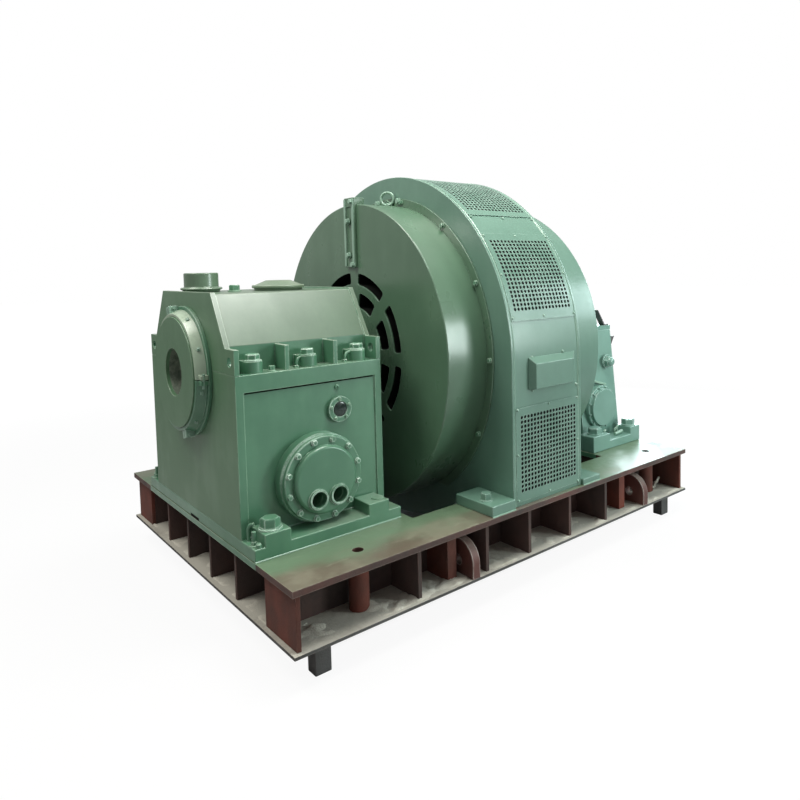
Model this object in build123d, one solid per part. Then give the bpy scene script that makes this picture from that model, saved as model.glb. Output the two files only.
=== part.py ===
from build123d import *
import math
import os

# Horizontal hydroelectric generator on a welded base frame, in millimetres.
# The shaft runs along X, the thrust bearing pedestal stands at the -X end,
# and heights in the functions are counted from the underside of the base frame.

# Base frame
base_height = 275.0
top_plate = 28.0
bottom_plate = 14.0
web_plate = 20.0
rib_plate = 20.0
side_recess = 233.0
end_recess = 233.0
rib_setback = 21.0
deck_margin = 23.0
pit_ledge = 53.0
cross_web_gap = 20.0
side_rib_places = (620.0, 1032.0, 1332.0, 1652.0, 1971.0)
end_rib_count = 4
near_corner_lap = 65.0
far_corner_lap = 22.0
anchor_hole = 25.0
anchor_tube = 45.0
anchor_tube_gap = 31.0
anchor_front_inset = 388.0
anchor_back_inset = 225.0

# Lifting lugs and the posts beside them, placed from the thrust end
lug_plate = 46.0
lug_places = (940.0, 2343.0)
lug_radius = 109.0
lug_eye = 24.0
lug_proud = 1.0
lug_centre_height = 83.0
post_plate = 54.0
post_places = (848.5, 2196.0)
post_setback = 71.0

# Packing blocks under the corners
block_height = 140.0
block_length = 75.0
block_width = 66.0
block_end_inset = 152.5
block_side_inset = 91.0

# Lengths along the shaft, from the thrust end to the guide end
end_margin = 2.0
thrust_body_length = 743.0
thrust_foot_proud = 5.0
pit_edge_gap = 30.0
front_drum_gap = 172.0
front_drum_depth = 267.0
stator_length = 534.0
rear_drum_depth = 358.0
rear_drum_gap = 169.0
guide_foot_gap = 8.0
guide_foot_length = 510.0

# Shaft and the bores round it
shaft_radius = 99.0
shaft_clearance = 1.0
shaft_recess = 10.0
bearing_bore_step = 7.0
bearing_bore_depth = 158.0
seal_bore_step = 9.0

# Thrust bearing pedestal
thrust_foot_plate = 55.0
thrust_pad_height = 54.0
thrust_front_pad = (46.0, 168.0)
thrust_back_pad = (184.0, 69.0)
thrust_front_bolt = 99.0
thrust_bolt_inset = 60.0
thrust_body_half = 568.0
thrust_pad_width = 138.0
thrust_end_plate = 38.0
thrust_panel_setback = 8.0
thrust_panel_height = 640.0
thrust_band_height = 78.0
thrust_joint_rise = 32.0

# Thrust bearing cap, its heights counted from the joint and its widths from the housing's side
cap_end_plate = 24.0
cap_peak_rise = 354.0
cap_peak_inset = 240.0
cap_shoulder_rise = 112.0
cap_shoulder_inset = 96.0
cap_roof_drop = 9.0
cap_roof_inset = 240.0
cap_wall_rise = 118.0
cap_wall_inset = 108.0
cap_boss_radius = 42.0
cap_boss_height = 52.0
cap_bolt_inset = 53.0
cap_bolt_margin = 105.5
cap_rib_plate = 21.0
cap_rib_offset = 123.5
cap_rib_rise = 113.0
cap_lug_hole = 22.0
cap_lug_hole_rise = 56.0

# Hexagon bolts: across corners, head height, washer radius, washer thickness
large_bolt = (86.0, 42.0, 52.0, 7.0)
cap_bolt = (62.0, 26.0, 39.0, 6.0)
guide_bolt = (92.0, 38.0, 52.0, 6.0)
stator_bolt = (59.0, 32.0, 36.0, 5.0)

# End seal on the thrust bearing
seal_disc_radius = 268.0
seal_ring_wall = 14.0
seal_ring_slope = 18.0
seal_flange_lap = 17.0
seal_flange_depth = 17.0
seal_ring_depth = 46.0
seal_disc_depth = 53.0
seal_split_drop = 10.0
seal_split_gap = 3.0
seal_ear_thickness = 22.0
seal_ear_depth = 34.0

# Oil cooler on the side of the thrust bearing, its ports placed from the cover's rim and by angle
cooler_ring_radius = 207.0
cooler_foot_gap = 2.0
cooler_ring_depth = 56.0
cooler_flange_step = 10.0
cooler_flange_depth = 24.0
cooler_cover_step = 40.0
cooler_cover_depth = 28.0
cooler_cover_edge = 16.0
cooler_port_radius = 37.0
cooler_port_rim = 45.0
cooler_port_foot = 50.0
cooler_port_depth = 14.0
cooler_port_places = ((63.0, -122.0), (61.0, -54.3))

# Oil gauge
gauge_offset = 129.5
gauge_rise = 293.0
gauge_radius = 62.0
gauge_glass = 36.0
gauge_depth = 20.0
gauge_recess = 6.0

# Roof fittings of the thrust bearing
breather_gap = 4.0
breather_side = 130.0
breather_radius = 83.0
breather_flange = 101.0
breather_flange_depth = 12.0
breather_height = 74.0
roof_pad = 12.0
roof_pad_step = 12.0
inspection_offset = 114.5
inspection_radius = 135.0
inspection_rim_depth = 16.0
inspection_lid_step = 15.0
inspection_dome = 24.0
inspection_slope = 56.0

# Air drums with their slots: inner radius, outer radius and angle of each slot
front_drum_step = 170.0
rear_drum_step = 150.0
drum_edge = 4.0
slot_count = 8
slot_turn = 24.0
outer_slots = (392.0, 458.0, 35.0)
inner_slots = (262.0, 348.0, 29.0)
slot_corner = 16.0
slot_depth = 90.0
joint_bar_half = 52.0
joint_bar_thickness = 16.0
joint_bar_bottom = 490.0
joint_bar_groove = 30.0
joint_bar_groove_depth = 7.0
joint_bar_lip = 38.0
joint_bar_lip_length = 55.0
drum_flange_width = 46.0
drum_flange_depth = 10.0

# Stator casing
stator_radius = 1020.0
stator_plate = 16.0
stator_step = 4.0
stator_belly_step = 16.0
stator_belly_floor = 10.0
stator_pit_gap = 14.0

# Perforated grille panels: angles from the top, and edges on the flat side
grille_thickness = 5.0
grille_edge_gap = 8.0
top_grille_angles = (13.5, 42.0)
upper_grille_angles = (50.0, 78.5)
lower_grille_bottom = 23.0
lower_grille_drop = 235.0

# Terminal box
terminal_front_inset = 121.0
terminal_back_inset = 47.0
terminal_drop = 154.0
terminal_rise = 16.0
terminal_front_slope = 17.0
terminal_back_slope = 54.0
terminal_bottom_slope = 8.0
terminal_top_slope = 32.0
terminal_depth = 42.0

# Stator feet: length, height and bolt inset at the thrust end and at the guide end
stator_front_foot = (160.0, 54.0, 85.0)
stator_back_foot = (150.0, 34.0, 130.0)
stator_foot_width = 277.0
stator_foot_proud = 15.0
stator_bolt_margin = 50.0

# Guide bearing pedestal, its widths counted from the foot of the housing
guide_foot_proud = 132.0
guide_foot_plate = 57.0
guide_pad_height = 48.0
guide_front_pad = 176.0
guide_back_pad = 107.0
guide_pad_gap = 2.0
guide_front_bolt = 88.0
guide_back_bolt = 53.0
guide_bolt_inset = 60.0
guide_body_front = 62.0
guide_body_back = 58.0
guide_lower_half = 558.0
guide_joint_inset = 72.0
guide_joint_rise = 24.0
guide_flange = 30.0
guide_cap_shoulder = 186.0
guide_cap_margin = 30.0
guide_cover_offset = -13.0
guide_cover_rise = 196.0
guide_ring_radius = 146.0
guide_ring_depth = 20.0
guide_cover_radius = 126.0
guide_cover_depth = 22.0
guide_plug_offset = 100.0
guide_plug_drop = 215.0
guide_plug_radius = 50.0
guide_plug_neck = 42.0
guide_plug_head = 26.0
guide_plug_depth = 75.0

# Small sensor brackets on the guide bearing
bracket_plate = 8.0
bracket_width = 42.0
bracket_foot = 48.0
bracket_height = 112.0
bracket_lean = 74.0
bracket_offset = 135.0
bracket_inset = 6.0
bracket_arm_reach = 56.0
bracket_arm_height = 83.0
bracket_arm_drop = 53.0

# Places along the shaft, with the middle of the base at zero
thrust_foot_length = thrust_body_length + thrust_foot_proud
pit_length = front_drum_gap + front_drum_depth + stator_length + rear_drum_depth + rear_drum_gap
base_length = 2 * end_margin + thrust_foot_length + pit_edge_gap + pit_length
base_length += guide_foot_gap + guide_foot_length
half_length = base_length / 2
thrust_start = -half_length + end_margin
thrust_end = thrust_start + thrust_body_length
thrust_middle = (thrust_start + thrust_end) / 2
thrust_foot_end = thrust_start + thrust_foot_length
pit_start = thrust_foot_end + pit_edge_gap
front_drum_face = pit_start + front_drum_gap
stator_start = front_drum_face + front_drum_depth
stator_end = stator_start + stator_length
rear_drum_face = stator_end + rear_drum_depth
pit_end = rear_drum_face + rear_drum_gap
guide_foot_start = pit_end + guide_foot_gap
guide_foot_end = guide_foot_start + guide_foot_length
guide_body_start = guide_foot_start + guide_body_front
guide_body_end = guide_foot_end - guide_body_back
guide_middle = (guide_body_start + guide_body_end) / 2
shaft_start = thrust_start + bearing_bore_depth + shaft_recess

# Places across the shaft
half_width = stator_radius + deck_margin
web_face = half_width - side_recess
end_web_face = half_length - end_recess
pit_half_width = web_face - pit_ledge
anchor_side = web_face + anchor_tube_gap + anchor_tube
thrust_panel = thrust_body_half - thrust_panel_setback
thrust_foot_half = thrust_body_half + thrust_pad_width
thrust_bolt_side = thrust_foot_half - thrust_bolt_inset
cap_bolt_side = thrust_body_half - cap_bolt_inset
cap_wall_half = thrust_body_half - cap_wall_inset
casing_radius = stator_radius - stator_step
front_drum_radius = stator_radius - front_drum_step
rear_drum_radius = stator_radius - rear_drum_step
guide_foot_half = guide_lower_half + guide_foot_proud
guide_joint_half = guide_lower_half - guide_joint_inset
guide_cap_radius = guide_joint_half - guide_cap_shoulder

# Heights above the underside of the base frame
between_bottom = bottom_plate
between_top = base_height - top_plate
deck = base_height
thrust_foot_top = deck + thrust_foot_plate
thrust_pad_top = thrust_foot_top + thrust_pad_height
thrust_band_bottom = thrust_foot_top + thrust_panel_height
thrust_joint = thrust_band_bottom + thrust_band_height
cap_roof = thrust_joint + cap_peak_rise - cap_roof_drop
shaft_height = thrust_joint - thrust_joint_rise
cooler_height = thrust_foot_top + cooler_foot_gap + cooler_ring_radius
guide_foot_top = deck + guide_foot_plate
guide_pad_top = guide_foot_top + guide_pad_height
guide_joint = shaft_height + guide_joint_rise

# Bores and the end seal
thrust_bore = shaft_radius + bearing_bore_step
seal_bore = thrust_bore + seal_bore_step
seal_ring_rim = seal_disc_radius + seal_ring_wall
seal_ring_radius = seal_ring_rim + seal_ring_slope
seal_flange_radius = seal_ring_radius + seal_flange_lap
seal_depth = seal_flange_depth + seal_disc_depth
frame_shift = seal_depth / 2 - end_margin / 2


def block(x0, x1, y0, y1, z0, z1):
    """Box between two corners."""
    centre = Pos((x0 + x1) / 2, (y0 + y1) / 2, (z0 + z1) / 2)
    return centre * Box(x1 - x0, y1 - y0, z1 - z0)


def disc_x(x0, x1, radius, y=0.0, z=shaft_height):
    """Round bar along X, on the shaft line unless told otherwise."""
    bar = Cylinder(radius, x1 - x0, align=(Align.CENTER, Align.CENTER, Align.MIN))
    return Pos(x0, y, z) * Rot(0, 90, 0) * bar


def disc_y(y0, y1, radius, x, z):
    """Round bar along Y."""
    bar = Cylinder(radius, y1 - y0, align=(Align.CENTER, Align.CENTER, Align.MIN))
    return Pos(x, y0, z) * Rot(-90, 0, 0) * bar


def disc_z(z0, z1, radius, x, y):
    """Round bar along Z."""
    bar = Cylinder(radius, z1 - z0, align=(Align.CENTER, Align.CENTER, Align.MIN))
    return Pos(x, y, z0) * bar


def plate_x(points, x0, x1):
    """Plate across the shaft: an outline of (y, z) points, from x0 to x1."""
    outline = Polyline([(x0, y, z) for y, z in points], close=True)
    return extrude(make_face(outline), x1 - x0, dir=(1, 0, 0))


def plate_y(points, y0, y1):
    """Plate along the shaft: an outline of (x, z) points, from y0 to y1."""
    outline = Polyline([(x, y0, z) for x, z in points], close=True)
    return extrude(make_face(outline), y1 - y0, dir=(0, 1, 0))


def mirrored(shapes):
    """The shapes and their mirror images on the other side of the shaft."""
    return list(shapes) + [shape.mirror(Plane.XZ) for shape in shapes]


def shaft_hole(x0, x1):
    """Room for the shaft between two places."""
    return disc_x(x0, x1, shaft_radius + shaft_clearance)


def hex_bolt(size, x, y, z):
    """Hexagon head on its washer, standing on a face at height z."""
    corners, head, washer_radius, washer = size
    body = disc_z(z, z + washer, washer_radius, x, y)
    outline = RegularPolygon(corners / 2, 6)
    return body + Pos(x, y, z + washer) * extrude(outline, head)


# Base frame

def base_top_plate():
    plate = block(-half_length, half_length, -half_width, half_width, between_top, deck)
    plate -= block(pit_start, pit_end, -pit_half_width, pit_half_width, between_top - 1, deck + 1)
    for x, y in anchor_points():
        plate -= disc_z(between_top - 1, deck + 1, anchor_hole, x, y)
    return [plate]


def base_bottom_plate():
    plate = block(-half_length, half_length, -half_width, half_width, 0, bottom_plate)
    plate -= block(pit_start, pit_end, -pit_half_width, pit_half_width, -1, bottom_plate + 1)
    for x, y in anchor_points():
        plate -= disc_z(-1, bottom_plate + 1, anchor_hole, x, y)
    return [plate]


def anchor_points():
    places = (-half_length + anchor_front_inset, half_length - anchor_back_inset)
    return [(x, y) for x in places for y in (-anchor_side, anchor_side)]


def base_side_webs():
    reach = half_length - rib_setback - rib_plate
    web = block(-reach, reach, -web_face, -web_face + web_plate, between_bottom, between_top)
    return mirrored([web])


def base_end_webs():
    reach = web_face - web_plate
    webs = []
    for side in (-1, 1):
        near, far = sorted((side * (end_web_face - web_plate), side * end_web_face))
        webs.append(block(near, far, -reach, reach, between_bottom, between_top))
    return webs


def base_cross_webs():
    reach = web_face - web_plate
    front = pit_start - cross_web_gap
    back = pit_end + cross_web_gap
    return [
        block(front - web_plate, front, -reach, reach, between_bottom, between_top),
        block(back, back + web_plate, -reach, reach, between_bottom, between_top),
    ]


def base_side_ribs():
    front = -half_width + rib_setback
    ribs = []
    for place in side_rib_places:
        x0 = place - half_length - rib_plate / 2
        ribs.append(block(x0, x0 + rib_plate, front, -web_face, between_bottom, between_top))
    return mirrored(ribs)


def corner_plate_edges():
    """Inner edges of the corner plates on the near and on the far side."""
    return -web_face + near_corner_lap, web_face - far_corner_lap


def base_end_ribs():
    near_edge, far_edge = corner_plate_edges()
    step = (far_edge - near_edge) / (end_rib_count + 1)
    ribs = []
    for side in (-1, 1):
        x0, x1 = sorted((side * end_web_face, side * (half_length - rib_setback)))
        for turn in range(end_rib_count):
            y0 = near_edge + (turn + 1) * step - rib_plate / 2
            ribs.append(block(x0, x1, y0, y0 + rib_plate, between_bottom, between_top))
    return ribs


def base_corner_plates():
    outer = half_length - rib_setback
    side_edge = half_width - rib_setback
    near_edge, far_edge = corner_plate_edges()
    plates = []
    for side in (-1, 1):
        x0, x1 = sorted((side * (outer - rib_plate), side * outer))
        plates.append(block(x0, x1, -side_edge, near_edge, between_bottom, between_top))
        plates.append(block(x0, x1, far_edge, side_edge, between_bottom, between_top))
    return plates


def lifting_lugs():
    front = -half_width - lug_proud
    depth = -front - lug_radius
    plates = []
    for place in lug_places:
        x0 = place - half_length - lug_plate / 2
        x1 = x0 + lug_plate
        lug = disc_x(x0, x1, lug_radius, -depth, lug_centre_height)
        lug += block(x0, x1, front, -web_face, between_bottom, lug_centre_height)
        top = lug_centre_height + lug_radius
        lug += block(x0, x1, -depth, -web_face, between_bottom, top)
        lowest = lug_centre_height - lug_radius - 1
        lug -= block(x0 - 1, x1 + 1, front - 1, -web_face, lowest, between_bottom)
        lug -= disc_x(x0 - 1, x1 + 1, lug_eye, -depth, lug_centre_height)
        plates.append(lug)
    return mirrored(plates)


def lug_posts():
    front = -half_width + post_setback
    posts = []
    for place in post_places:
        x0 = place - half_length - post_plate / 2
        posts.append(block(x0, x0 + post_plate, front, -web_face, between_bottom, between_top))
    return mirrored(posts)


def anchor_tubes():
    tubes = []
    for x, y in anchor_points():
        tube = disc_z(between_bottom, between_top, anchor_tube, x, y)
        tubes.append(tube - disc_z(between_bottom - 1, between_top + 1, anchor_hole, x, y))
    return tubes


def packing_blocks():
    blocks = []
    place = half_length - block_end_inset
    for x in (-place, place):
        x0 = x - block_length / 2
        y0 = -half_width + block_side_inset - block_width / 2
        blocks.append(block(x0, x0 + block_length, y0, y0 + block_width, -block_height, 0))
    return mirrored(blocks)


# Thrust bearing pedestal

def thrust_foot():
    foot = block(thrust_start, thrust_foot_end, -thrust_foot_half, thrust_foot_half, deck, thrust_foot_top)
    pads = [[thrust_start + inset for inset in thrust_front_pad]]
    pads.append([thrust_foot_end - inset for inset in thrust_back_pad])
    for x0, x1 in pads:
        pad = block(x0, x1, -thrust_foot_half, -thrust_body_half, thrust_foot_top, thrust_pad_top)
        foot += pad
        foot += pad.mirror(Plane.XZ)
    return [foot]


def thrust_housing():
    half = thrust_body_half
    ends = ((thrust_start, thrust_start + thrust_end_plate), (thrust_end - thrust_end_plate, thrust_end))
    body = block(thrust_start, thrust_end, -thrust_panel, thrust_panel, thrust_foot_top, thrust_joint)
    for x0, x1 in ends:
        body += block(x0, x1, -half, half, thrust_foot_top, thrust_joint)
    body += block(thrust_start, thrust_end, -half, half, thrust_band_bottom, thrust_joint)
    body -= thrust_bores()
    return [body]


def thrust_bores():
    """The open bearing bore, and behind it the room for the shaft."""
    step = thrust_start + bearing_bore_depth
    open_bore = disc_x(thrust_start - 1, step, thrust_bore)
    return open_bore + shaft_hole(step, thrust_end + 1)


def cap_outline():
    shoulder = thrust_joint + cap_shoulder_rise
    side = [(thrust_body_half - cap_peak_inset, thrust_joint + cap_peak_rise)]
    side.append((thrust_body_half - cap_shoulder_inset, shoulder))
    side.append((thrust_body_half, shoulder))
    side.append((thrust_body_half, thrust_joint))
    return [(-y, z) for y, z in side] + [(y, z) for y, z in reversed(side)]


def cap_middle_outline():
    side = [(thrust_body_half - cap_roof_inset, cap_roof)]
    side.append((cap_wall_half, thrust_joint + cap_wall_rise))
    side.append((cap_wall_half, thrust_joint))
    return [(-y, z) for y, z in side] + [(y, z) for y, z in reversed(side)]


def cap_bolt_places():
    return (thrust_start + cap_bolt_margin, thrust_middle, thrust_end - cap_bolt_margin)


def thrust_cap():
    cap = plate_x(cap_middle_outline(), thrust_start + cap_end_plate, thrust_end - cap_end_plate)
    cap += plate_x(cap_outline(), thrust_start, thrust_start + cap_end_plate)
    cap += plate_x(cap_outline(), thrust_end - cap_end_plate, thrust_end)
    for side in (-1, 1):
        y = side * cap_bolt_side
        near, far = sorted((side * (cap_wall_half - 1), side * thrust_panel))
        for x in cap_bolt_places():
            cap += disc_z(thrust_joint, thrust_joint + cap_boss_height, cap_boss_radius, x, y)
            x0, x1 = x - cap_boss_radius, x + cap_boss_radius
            inner, outer = sorted((side * (cap_wall_half - 1), y))
            cap += block(x0, x1, inner, outer, thrust_joint, thrust_joint + cap_boss_height)
        for offset in (-cap_rib_offset, cap_rib_offset):
            x0 = thrust_middle + offset - cap_rib_plate / 2
            cap += block(x0, x0 + cap_rib_plate, near, far, thrust_joint, thrust_joint + cap_rib_rise)
        for x0 in (thrust_start, thrust_end - cap_end_plate):
            cap -= disc_x(x0 - 1, x0 + cap_end_plate + 1, cap_lug_hole, y, thrust_joint + cap_lug_hole_rise)
    cap -= thrust_bores()
    return [cap]


def thrust_cap_bolts():
    top = thrust_joint + cap_boss_height
    bolts = [hex_bolt(cap_bolt, x, -cap_bolt_side, top) for x in cap_bolt_places()]
    return mirrored(bolts)


def seal_flange_ring():
    ring = disc_x(thrust_start - seal_flange_depth, thrust_start, seal_flange_radius)
    return [ring - disc_x(thrust_start - seal_flange_depth - 1, thrust_start + 1, seal_bore)]


def seal_half(upper):
    """Bevelled half ring round the seal disc, with an ear at each side of the split."""
    back = thrust_start - seal_flange_depth
    front = back - seal_ring_depth
    low = (Align.CENTER, Align.CENTER, Align.MIN)
    cone = Cone(seal_ring_radius, seal_ring_rim, seal_ring_depth, align=low)
    ring = Pos(back, 0, shaft_height) * Rot(0, -90, 0) * cone
    split = shaft_height - seal_split_drop
    reach = seal_flange_radius
    if upper:
        z0, z1 = split + seal_split_gap / 2, split + seal_split_gap / 2 + seal_ear_thickness
        keep = block(front - 1, back + 1, -reach, reach, z0, shaft_height + reach)
    else:
        z0, z1 = split - seal_split_gap / 2 - seal_ear_thickness, split - seal_split_gap / 2
        keep = block(front - 1, back + 1, -reach, reach, shaft_height - reach, z1)
    for side in (-1, 1):
        near, far = sorted((side * seal_ring_rim, side * seal_flange_radius))
        ring += block(back - seal_ear_depth, back, near, far, z0, z1)
    ring = ring & keep
    ring -= disc_x(front - 1, back + 1, seal_disc_radius)
    return [ring]


def seal_disc():
    back = thrust_start - seal_flange_depth
    disc = disc_x(back - seal_disc_depth, back, seal_disc_radius)
    return [disc - disc_x(back - seal_disc_depth - 1, back + 1, seal_bore)]


def cooler_ports():
    """Middles of the two pipe ports, as (x, z)."""
    middles = []
    for inset, angle in cooler_port_places:
        reach = cooler_ring_radius - cooler_flange_step - cooler_cover_step - inset
        turn = math.radians(angle)
        middles.append((thrust_middle + reach * math.cos(turn), cooler_height + reach * math.sin(turn)))
    return middles


def cooler_rings():
    front = -thrust_panel - cooler_ring_depth
    ring = disc_y(front, -thrust_panel, cooler_ring_radius, thrust_middle, cooler_height)
    flange_front = front - cooler_flange_depth
    flange_radius = cooler_ring_radius - cooler_flange_step
    ring += disc_y(flange_front, front, flange_radius, thrust_middle, cooler_height)
    for x, z in cooler_ports():
        ring -= disc_y(flange_front - 1, -thrust_panel + 1, cooler_port_radius, x, z)
    return mirrored([ring])


def cooler_covers():
    back = -thrust_panel - cooler_ring_depth - cooler_flange_depth
    front = back - cooler_cover_depth
    radius = cooler_ring_radius - cooler_flange_step - cooler_cover_step
    cover = disc_y(front, back, radius, thrust_middle, cooler_height)
    cover = fillet(cover.faces().sort_by(Axis.Y)[0].edges(), cooler_cover_edge)
    tip = front - cooler_port_depth
    low = (Align.CENTER, Align.CENTER, Align.MIN)
    for x, z in cooler_ports():
        collar = Cone(cooler_port_foot, cooler_port_rim, back - tip, align=low)
        cover += Pos(x, back, z) * Rot(90, 0, 0) * collar
        cover -= disc_y(tip - 1, back + 1, cooler_port_radius, x, z)
    return mirrored([cover])


def oil_gauges():
    front = -thrust_panel - gauge_depth
    x = thrust_middle + gauge_offset
    z = cooler_height + gauge_rise
    gauge = disc_y(front, -thrust_panel, gauge_radius, x, z)
    gauge -= disc_y(front - 1, front + gauge_recess, gauge_glass, x, z)
    return mirrored([gauge - thrust_housing()[0]])


def breather():
    x = thrust_start + cap_end_plate + breather_gap + breather_flange
    pad_top = cap_roof + roof_pad
    flange_top = pad_top + breather_flange_depth
    cover = disc_z(cap_roof, pad_top, breather_flange - roof_pad_step, x, breather_side)
    cover += disc_z(pad_top, flange_top, breather_flange, x, breather_side)
    cover += disc_z(flange_top, flange_top + breather_height, breather_radius, x, breather_side)
    return [cover]


def inspection_cover():
    x = thrust_middle + inspection_offset
    pad_top = cap_roof + roof_pad
    rim_top = pad_top + inspection_rim_depth
    cover = disc_z(cap_roof, pad_top, inspection_radius - roof_pad_step, x, 0)
    cover += disc_z(pad_top, rim_top, inspection_radius, x, 0)
    lid = inspection_radius - inspection_lid_step
    low = (Align.CENTER, Align.CENTER, Align.MIN)
    dome = Cone(lid, lid - inspection_slope, inspection_dome, align=low)
    return [cover + Pos(x, 0, rim_top) * dome]


# Generator

def shaft():
    return [disc_x(shaft_start, guide_body_end - guide_cap_margin, shaft_radius)]


def slot_cutter(size, x0, x1):
    """One curved slot, centred on the top of the drum."""
    inner, outer, span = size
    half = span / 2
    with BuildSketch(Plane.YZ.offset(x0)) as sketch:
        with BuildLine():
            low = CenterArc((0, 0), inner, 90 - half, span)
            high = CenterArc((0, 0), outer, 90 - half, span)
            Line(low @ 0, high @ 0)
            Line(low @ 1, high @ 1)
        make_face()
        fillet(sketch.vertices(), slot_corner)
    return Pos(0, 0, shaft_height) * extrude(sketch.sketch, x1 - x0, dir=(1, 0, 0))


def slot_pockets(x0, x1):
    """Two rings of curved slots between the places x0 and x1."""
    pockets = []
    for size in (outer_slots, inner_slots):
        first = slot_cutter(size, x0, x1)
        for turn in range(slot_count):
            angle = slot_turn + turn * 360 / slot_count
            pockets.append(Pos(0, 0, shaft_height) * Rot(angle, 0, 0) * Pos(0, 0, -shaft_height) * first)
    return pockets


def drum(face, back, radius):
    """Closed air drum with a slotted end face at one side and the stator at the other."""
    x0, x1 = sorted((face, back))
    body = disc_x(x0, x1, radius)
    end = body.faces().sort_by(Axis.X)[0 if face < back else -1]
    body = chamfer(end.edges(), drum_edge)
    body -= shaft_hole(x0 - 1, x1 + 1)
    inward = 1 if face < back else -1
    near, far = sorted((face - inward, face + inward * slot_depth))
    for pocket in slot_pockets(near, far):
        body -= pocket
    return [body]


def front_drum():
    return drum(front_drum_face, stator_start, front_drum_radius)


def rear_drum():
    return drum(rear_drum_face, stator_end, rear_drum_radius)


def drum_joint_bar():
    """Bolted vertical joint on the drum's face, with a lip over the rim."""
    front = front_drum_face - joint_bar_thickness
    bottom = shaft_height + joint_bar_bottom
    top = shaft_height + front_drum_radius + joint_bar_lip
    half = joint_bar_half
    bar = block(front, front_drum_face, -half, half, bottom, top)
    groove_back = front + joint_bar_groove_depth
    groove_half = joint_bar_groove
    bar -= block(front - 1, groove_back, -groove_half, groove_half, bottom + half, top - half)
    lip_end = front_drum_face + joint_bar_lip_length
    lip = block(front_drum_face - 1, lip_end, -half, half, shaft_height, top)
    lip -= disc_x(front_drum_face - 2, lip_end + 1, front_drum_radius)
    return [bar + lip]


def drum_flange_rings():
    rings = []
    places = ((stator_start - drum_flange_depth, front_drum_radius), (stator_end, rear_drum_radius))
    highest = shaft_height + half_width
    for x0, radius in places:
        ring = disc_x(x0, x0 + drum_flange_depth, radius + drum_flange_width)
        ring -= disc_x(x0 - 1, x0 + drum_flange_depth + 1, radius)
        ring = ring & block(x0, x0 + drum_flange_depth, -half_width, half_width, deck, highest)
        rings.append(ring)
    return rings


def stator_outline(x0, x1, radius):
    """Round top, straight sides down to the deck and a round belly in the pit."""
    body = disc_x(x0, x1, radius)
    body = body & block(x0, x1, -radius, radius, shaft_height, shaft_height + radius)
    body += block(x0, x1, -radius, radius, deck, shaft_height)
    half = pit_half_width - stator_pit_gap
    belly = disc_x(x0, x1, casing_radius - stator_belly_step)
    body += belly & block(x0, x1, -half, half, stator_belly_floor, deck)
    return body - shaft_hole(x0 - 1, x1 + 1)


def stator_plate_thrust_end():
    return [stator_outline(stator_start, stator_start + stator_plate, stator_radius)]


def stator_plate_guide_end():
    return [stator_outline(stator_end - stator_plate, stator_end, stator_radius)]


def stator_casing():
    return [stator_outline(stator_start + stator_plate, stator_end - stator_plate, casing_radius)]


def grille_span():
    x0 = stator_start + stator_plate + grille_edge_gap
    return x0, stator_end - stator_plate - grille_edge_gap


def curved_grille(angles):
    """Curved sheet on the casing, between two angles from the top."""
    x0, x1 = grille_span()
    sheet = disc_x(x0, x1, casing_radius + grille_thickness)
    sheet -= disc_x(x0 - 1, x1 + 1, casing_radius)
    reach = 2 * stator_radius
    corners = [(0.0, 0.0)]
    for angle in angles:
        turn = math.radians(angle)
        corners.append((-reach * math.sin(turn), reach * math.cos(turn)))
    wedge = plate_x([(y, z + shaft_height) for y, z in corners], x0, x1)
    return sheet & wedge


def top_grilles():
    return mirrored([curved_grille(top_grille_angles)])


def upper_grilles():
    return mirrored([curved_grille(upper_grille_angles)])


def lower_grilles():
    x0, x1 = grille_span()
    z0, z1 = deck + lower_grille_bottom, shaft_height - lower_grille_drop
    return mirrored([block(x0, x1, -casing_radius - grille_thickness, -casing_radius, z0, z1)])


def terminal_boxes():
    """Shallow box whose top, bottom and thrust end slope in to its front face."""
    back = Plane.XZ.offset(casing_radius)
    front = Plane.XZ.offset(casing_radius + terminal_depth)
    x0, x1 = stator_start + terminal_front_inset, stator_end - terminal_back_inset
    z0, z1 = shaft_height - terminal_drop, shaft_height + terminal_rise
    face_x0, face_x1 = x0 + terminal_front_slope, x1 - terminal_back_slope
    face_z0, face_z1 = z0 + terminal_bottom_slope, z1 - terminal_top_slope
    rear = Pos((x0 + x1) / 2, (z0 + z1) / 2) * Rectangle(x1 - x0, z1 - z0)
    face_middle = Pos((face_x0 + face_x1) / 2, (face_z0 + face_z1) / 2)
    fore = face_middle * Rectangle(face_x1 - face_x0, face_z1 - face_z0)
    outlines = [back * rear, front * fore]
    return mirrored([loft(outlines)])


def stator_foot_ends():
    """Casing face, direction and sizes of the foot at each end."""
    return ((stator_start, -1, stator_front_foot), (stator_end, 1, stator_back_foot))


def stator_feet():
    feet = []
    side = -stator_radius - stator_foot_proud
    for face, out, (length, height, _) in stator_foot_ends():
        x0, x1 = sorted((face, face + out * length))
        feet.append(block(x0, x1, side, side + stator_foot_width, deck, deck + height))
    return mirrored(feet)


def foot_bolts():
    bolts = []
    bolts.append(hex_bolt(large_bolt, thrust_start + thrust_front_bolt, -thrust_bolt_side, thrust_pad_top))
    for x in (guide_foot_start + guide_front_bolt, guide_foot_end - guide_back_bolt):
        bolts.append(hex_bolt(guide_bolt, x, -guide_foot_half + guide_bolt_inset, guide_pad_top))
    for face, out, (length, height, inset) in stator_foot_ends():
        x = face + out * (length - stator_bolt_margin)
        bolts.append(hex_bolt(stator_bolt, x, -stator_radius + inset, deck + height))
    return mirrored(bolts)


# Guide bearing pedestal

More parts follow.
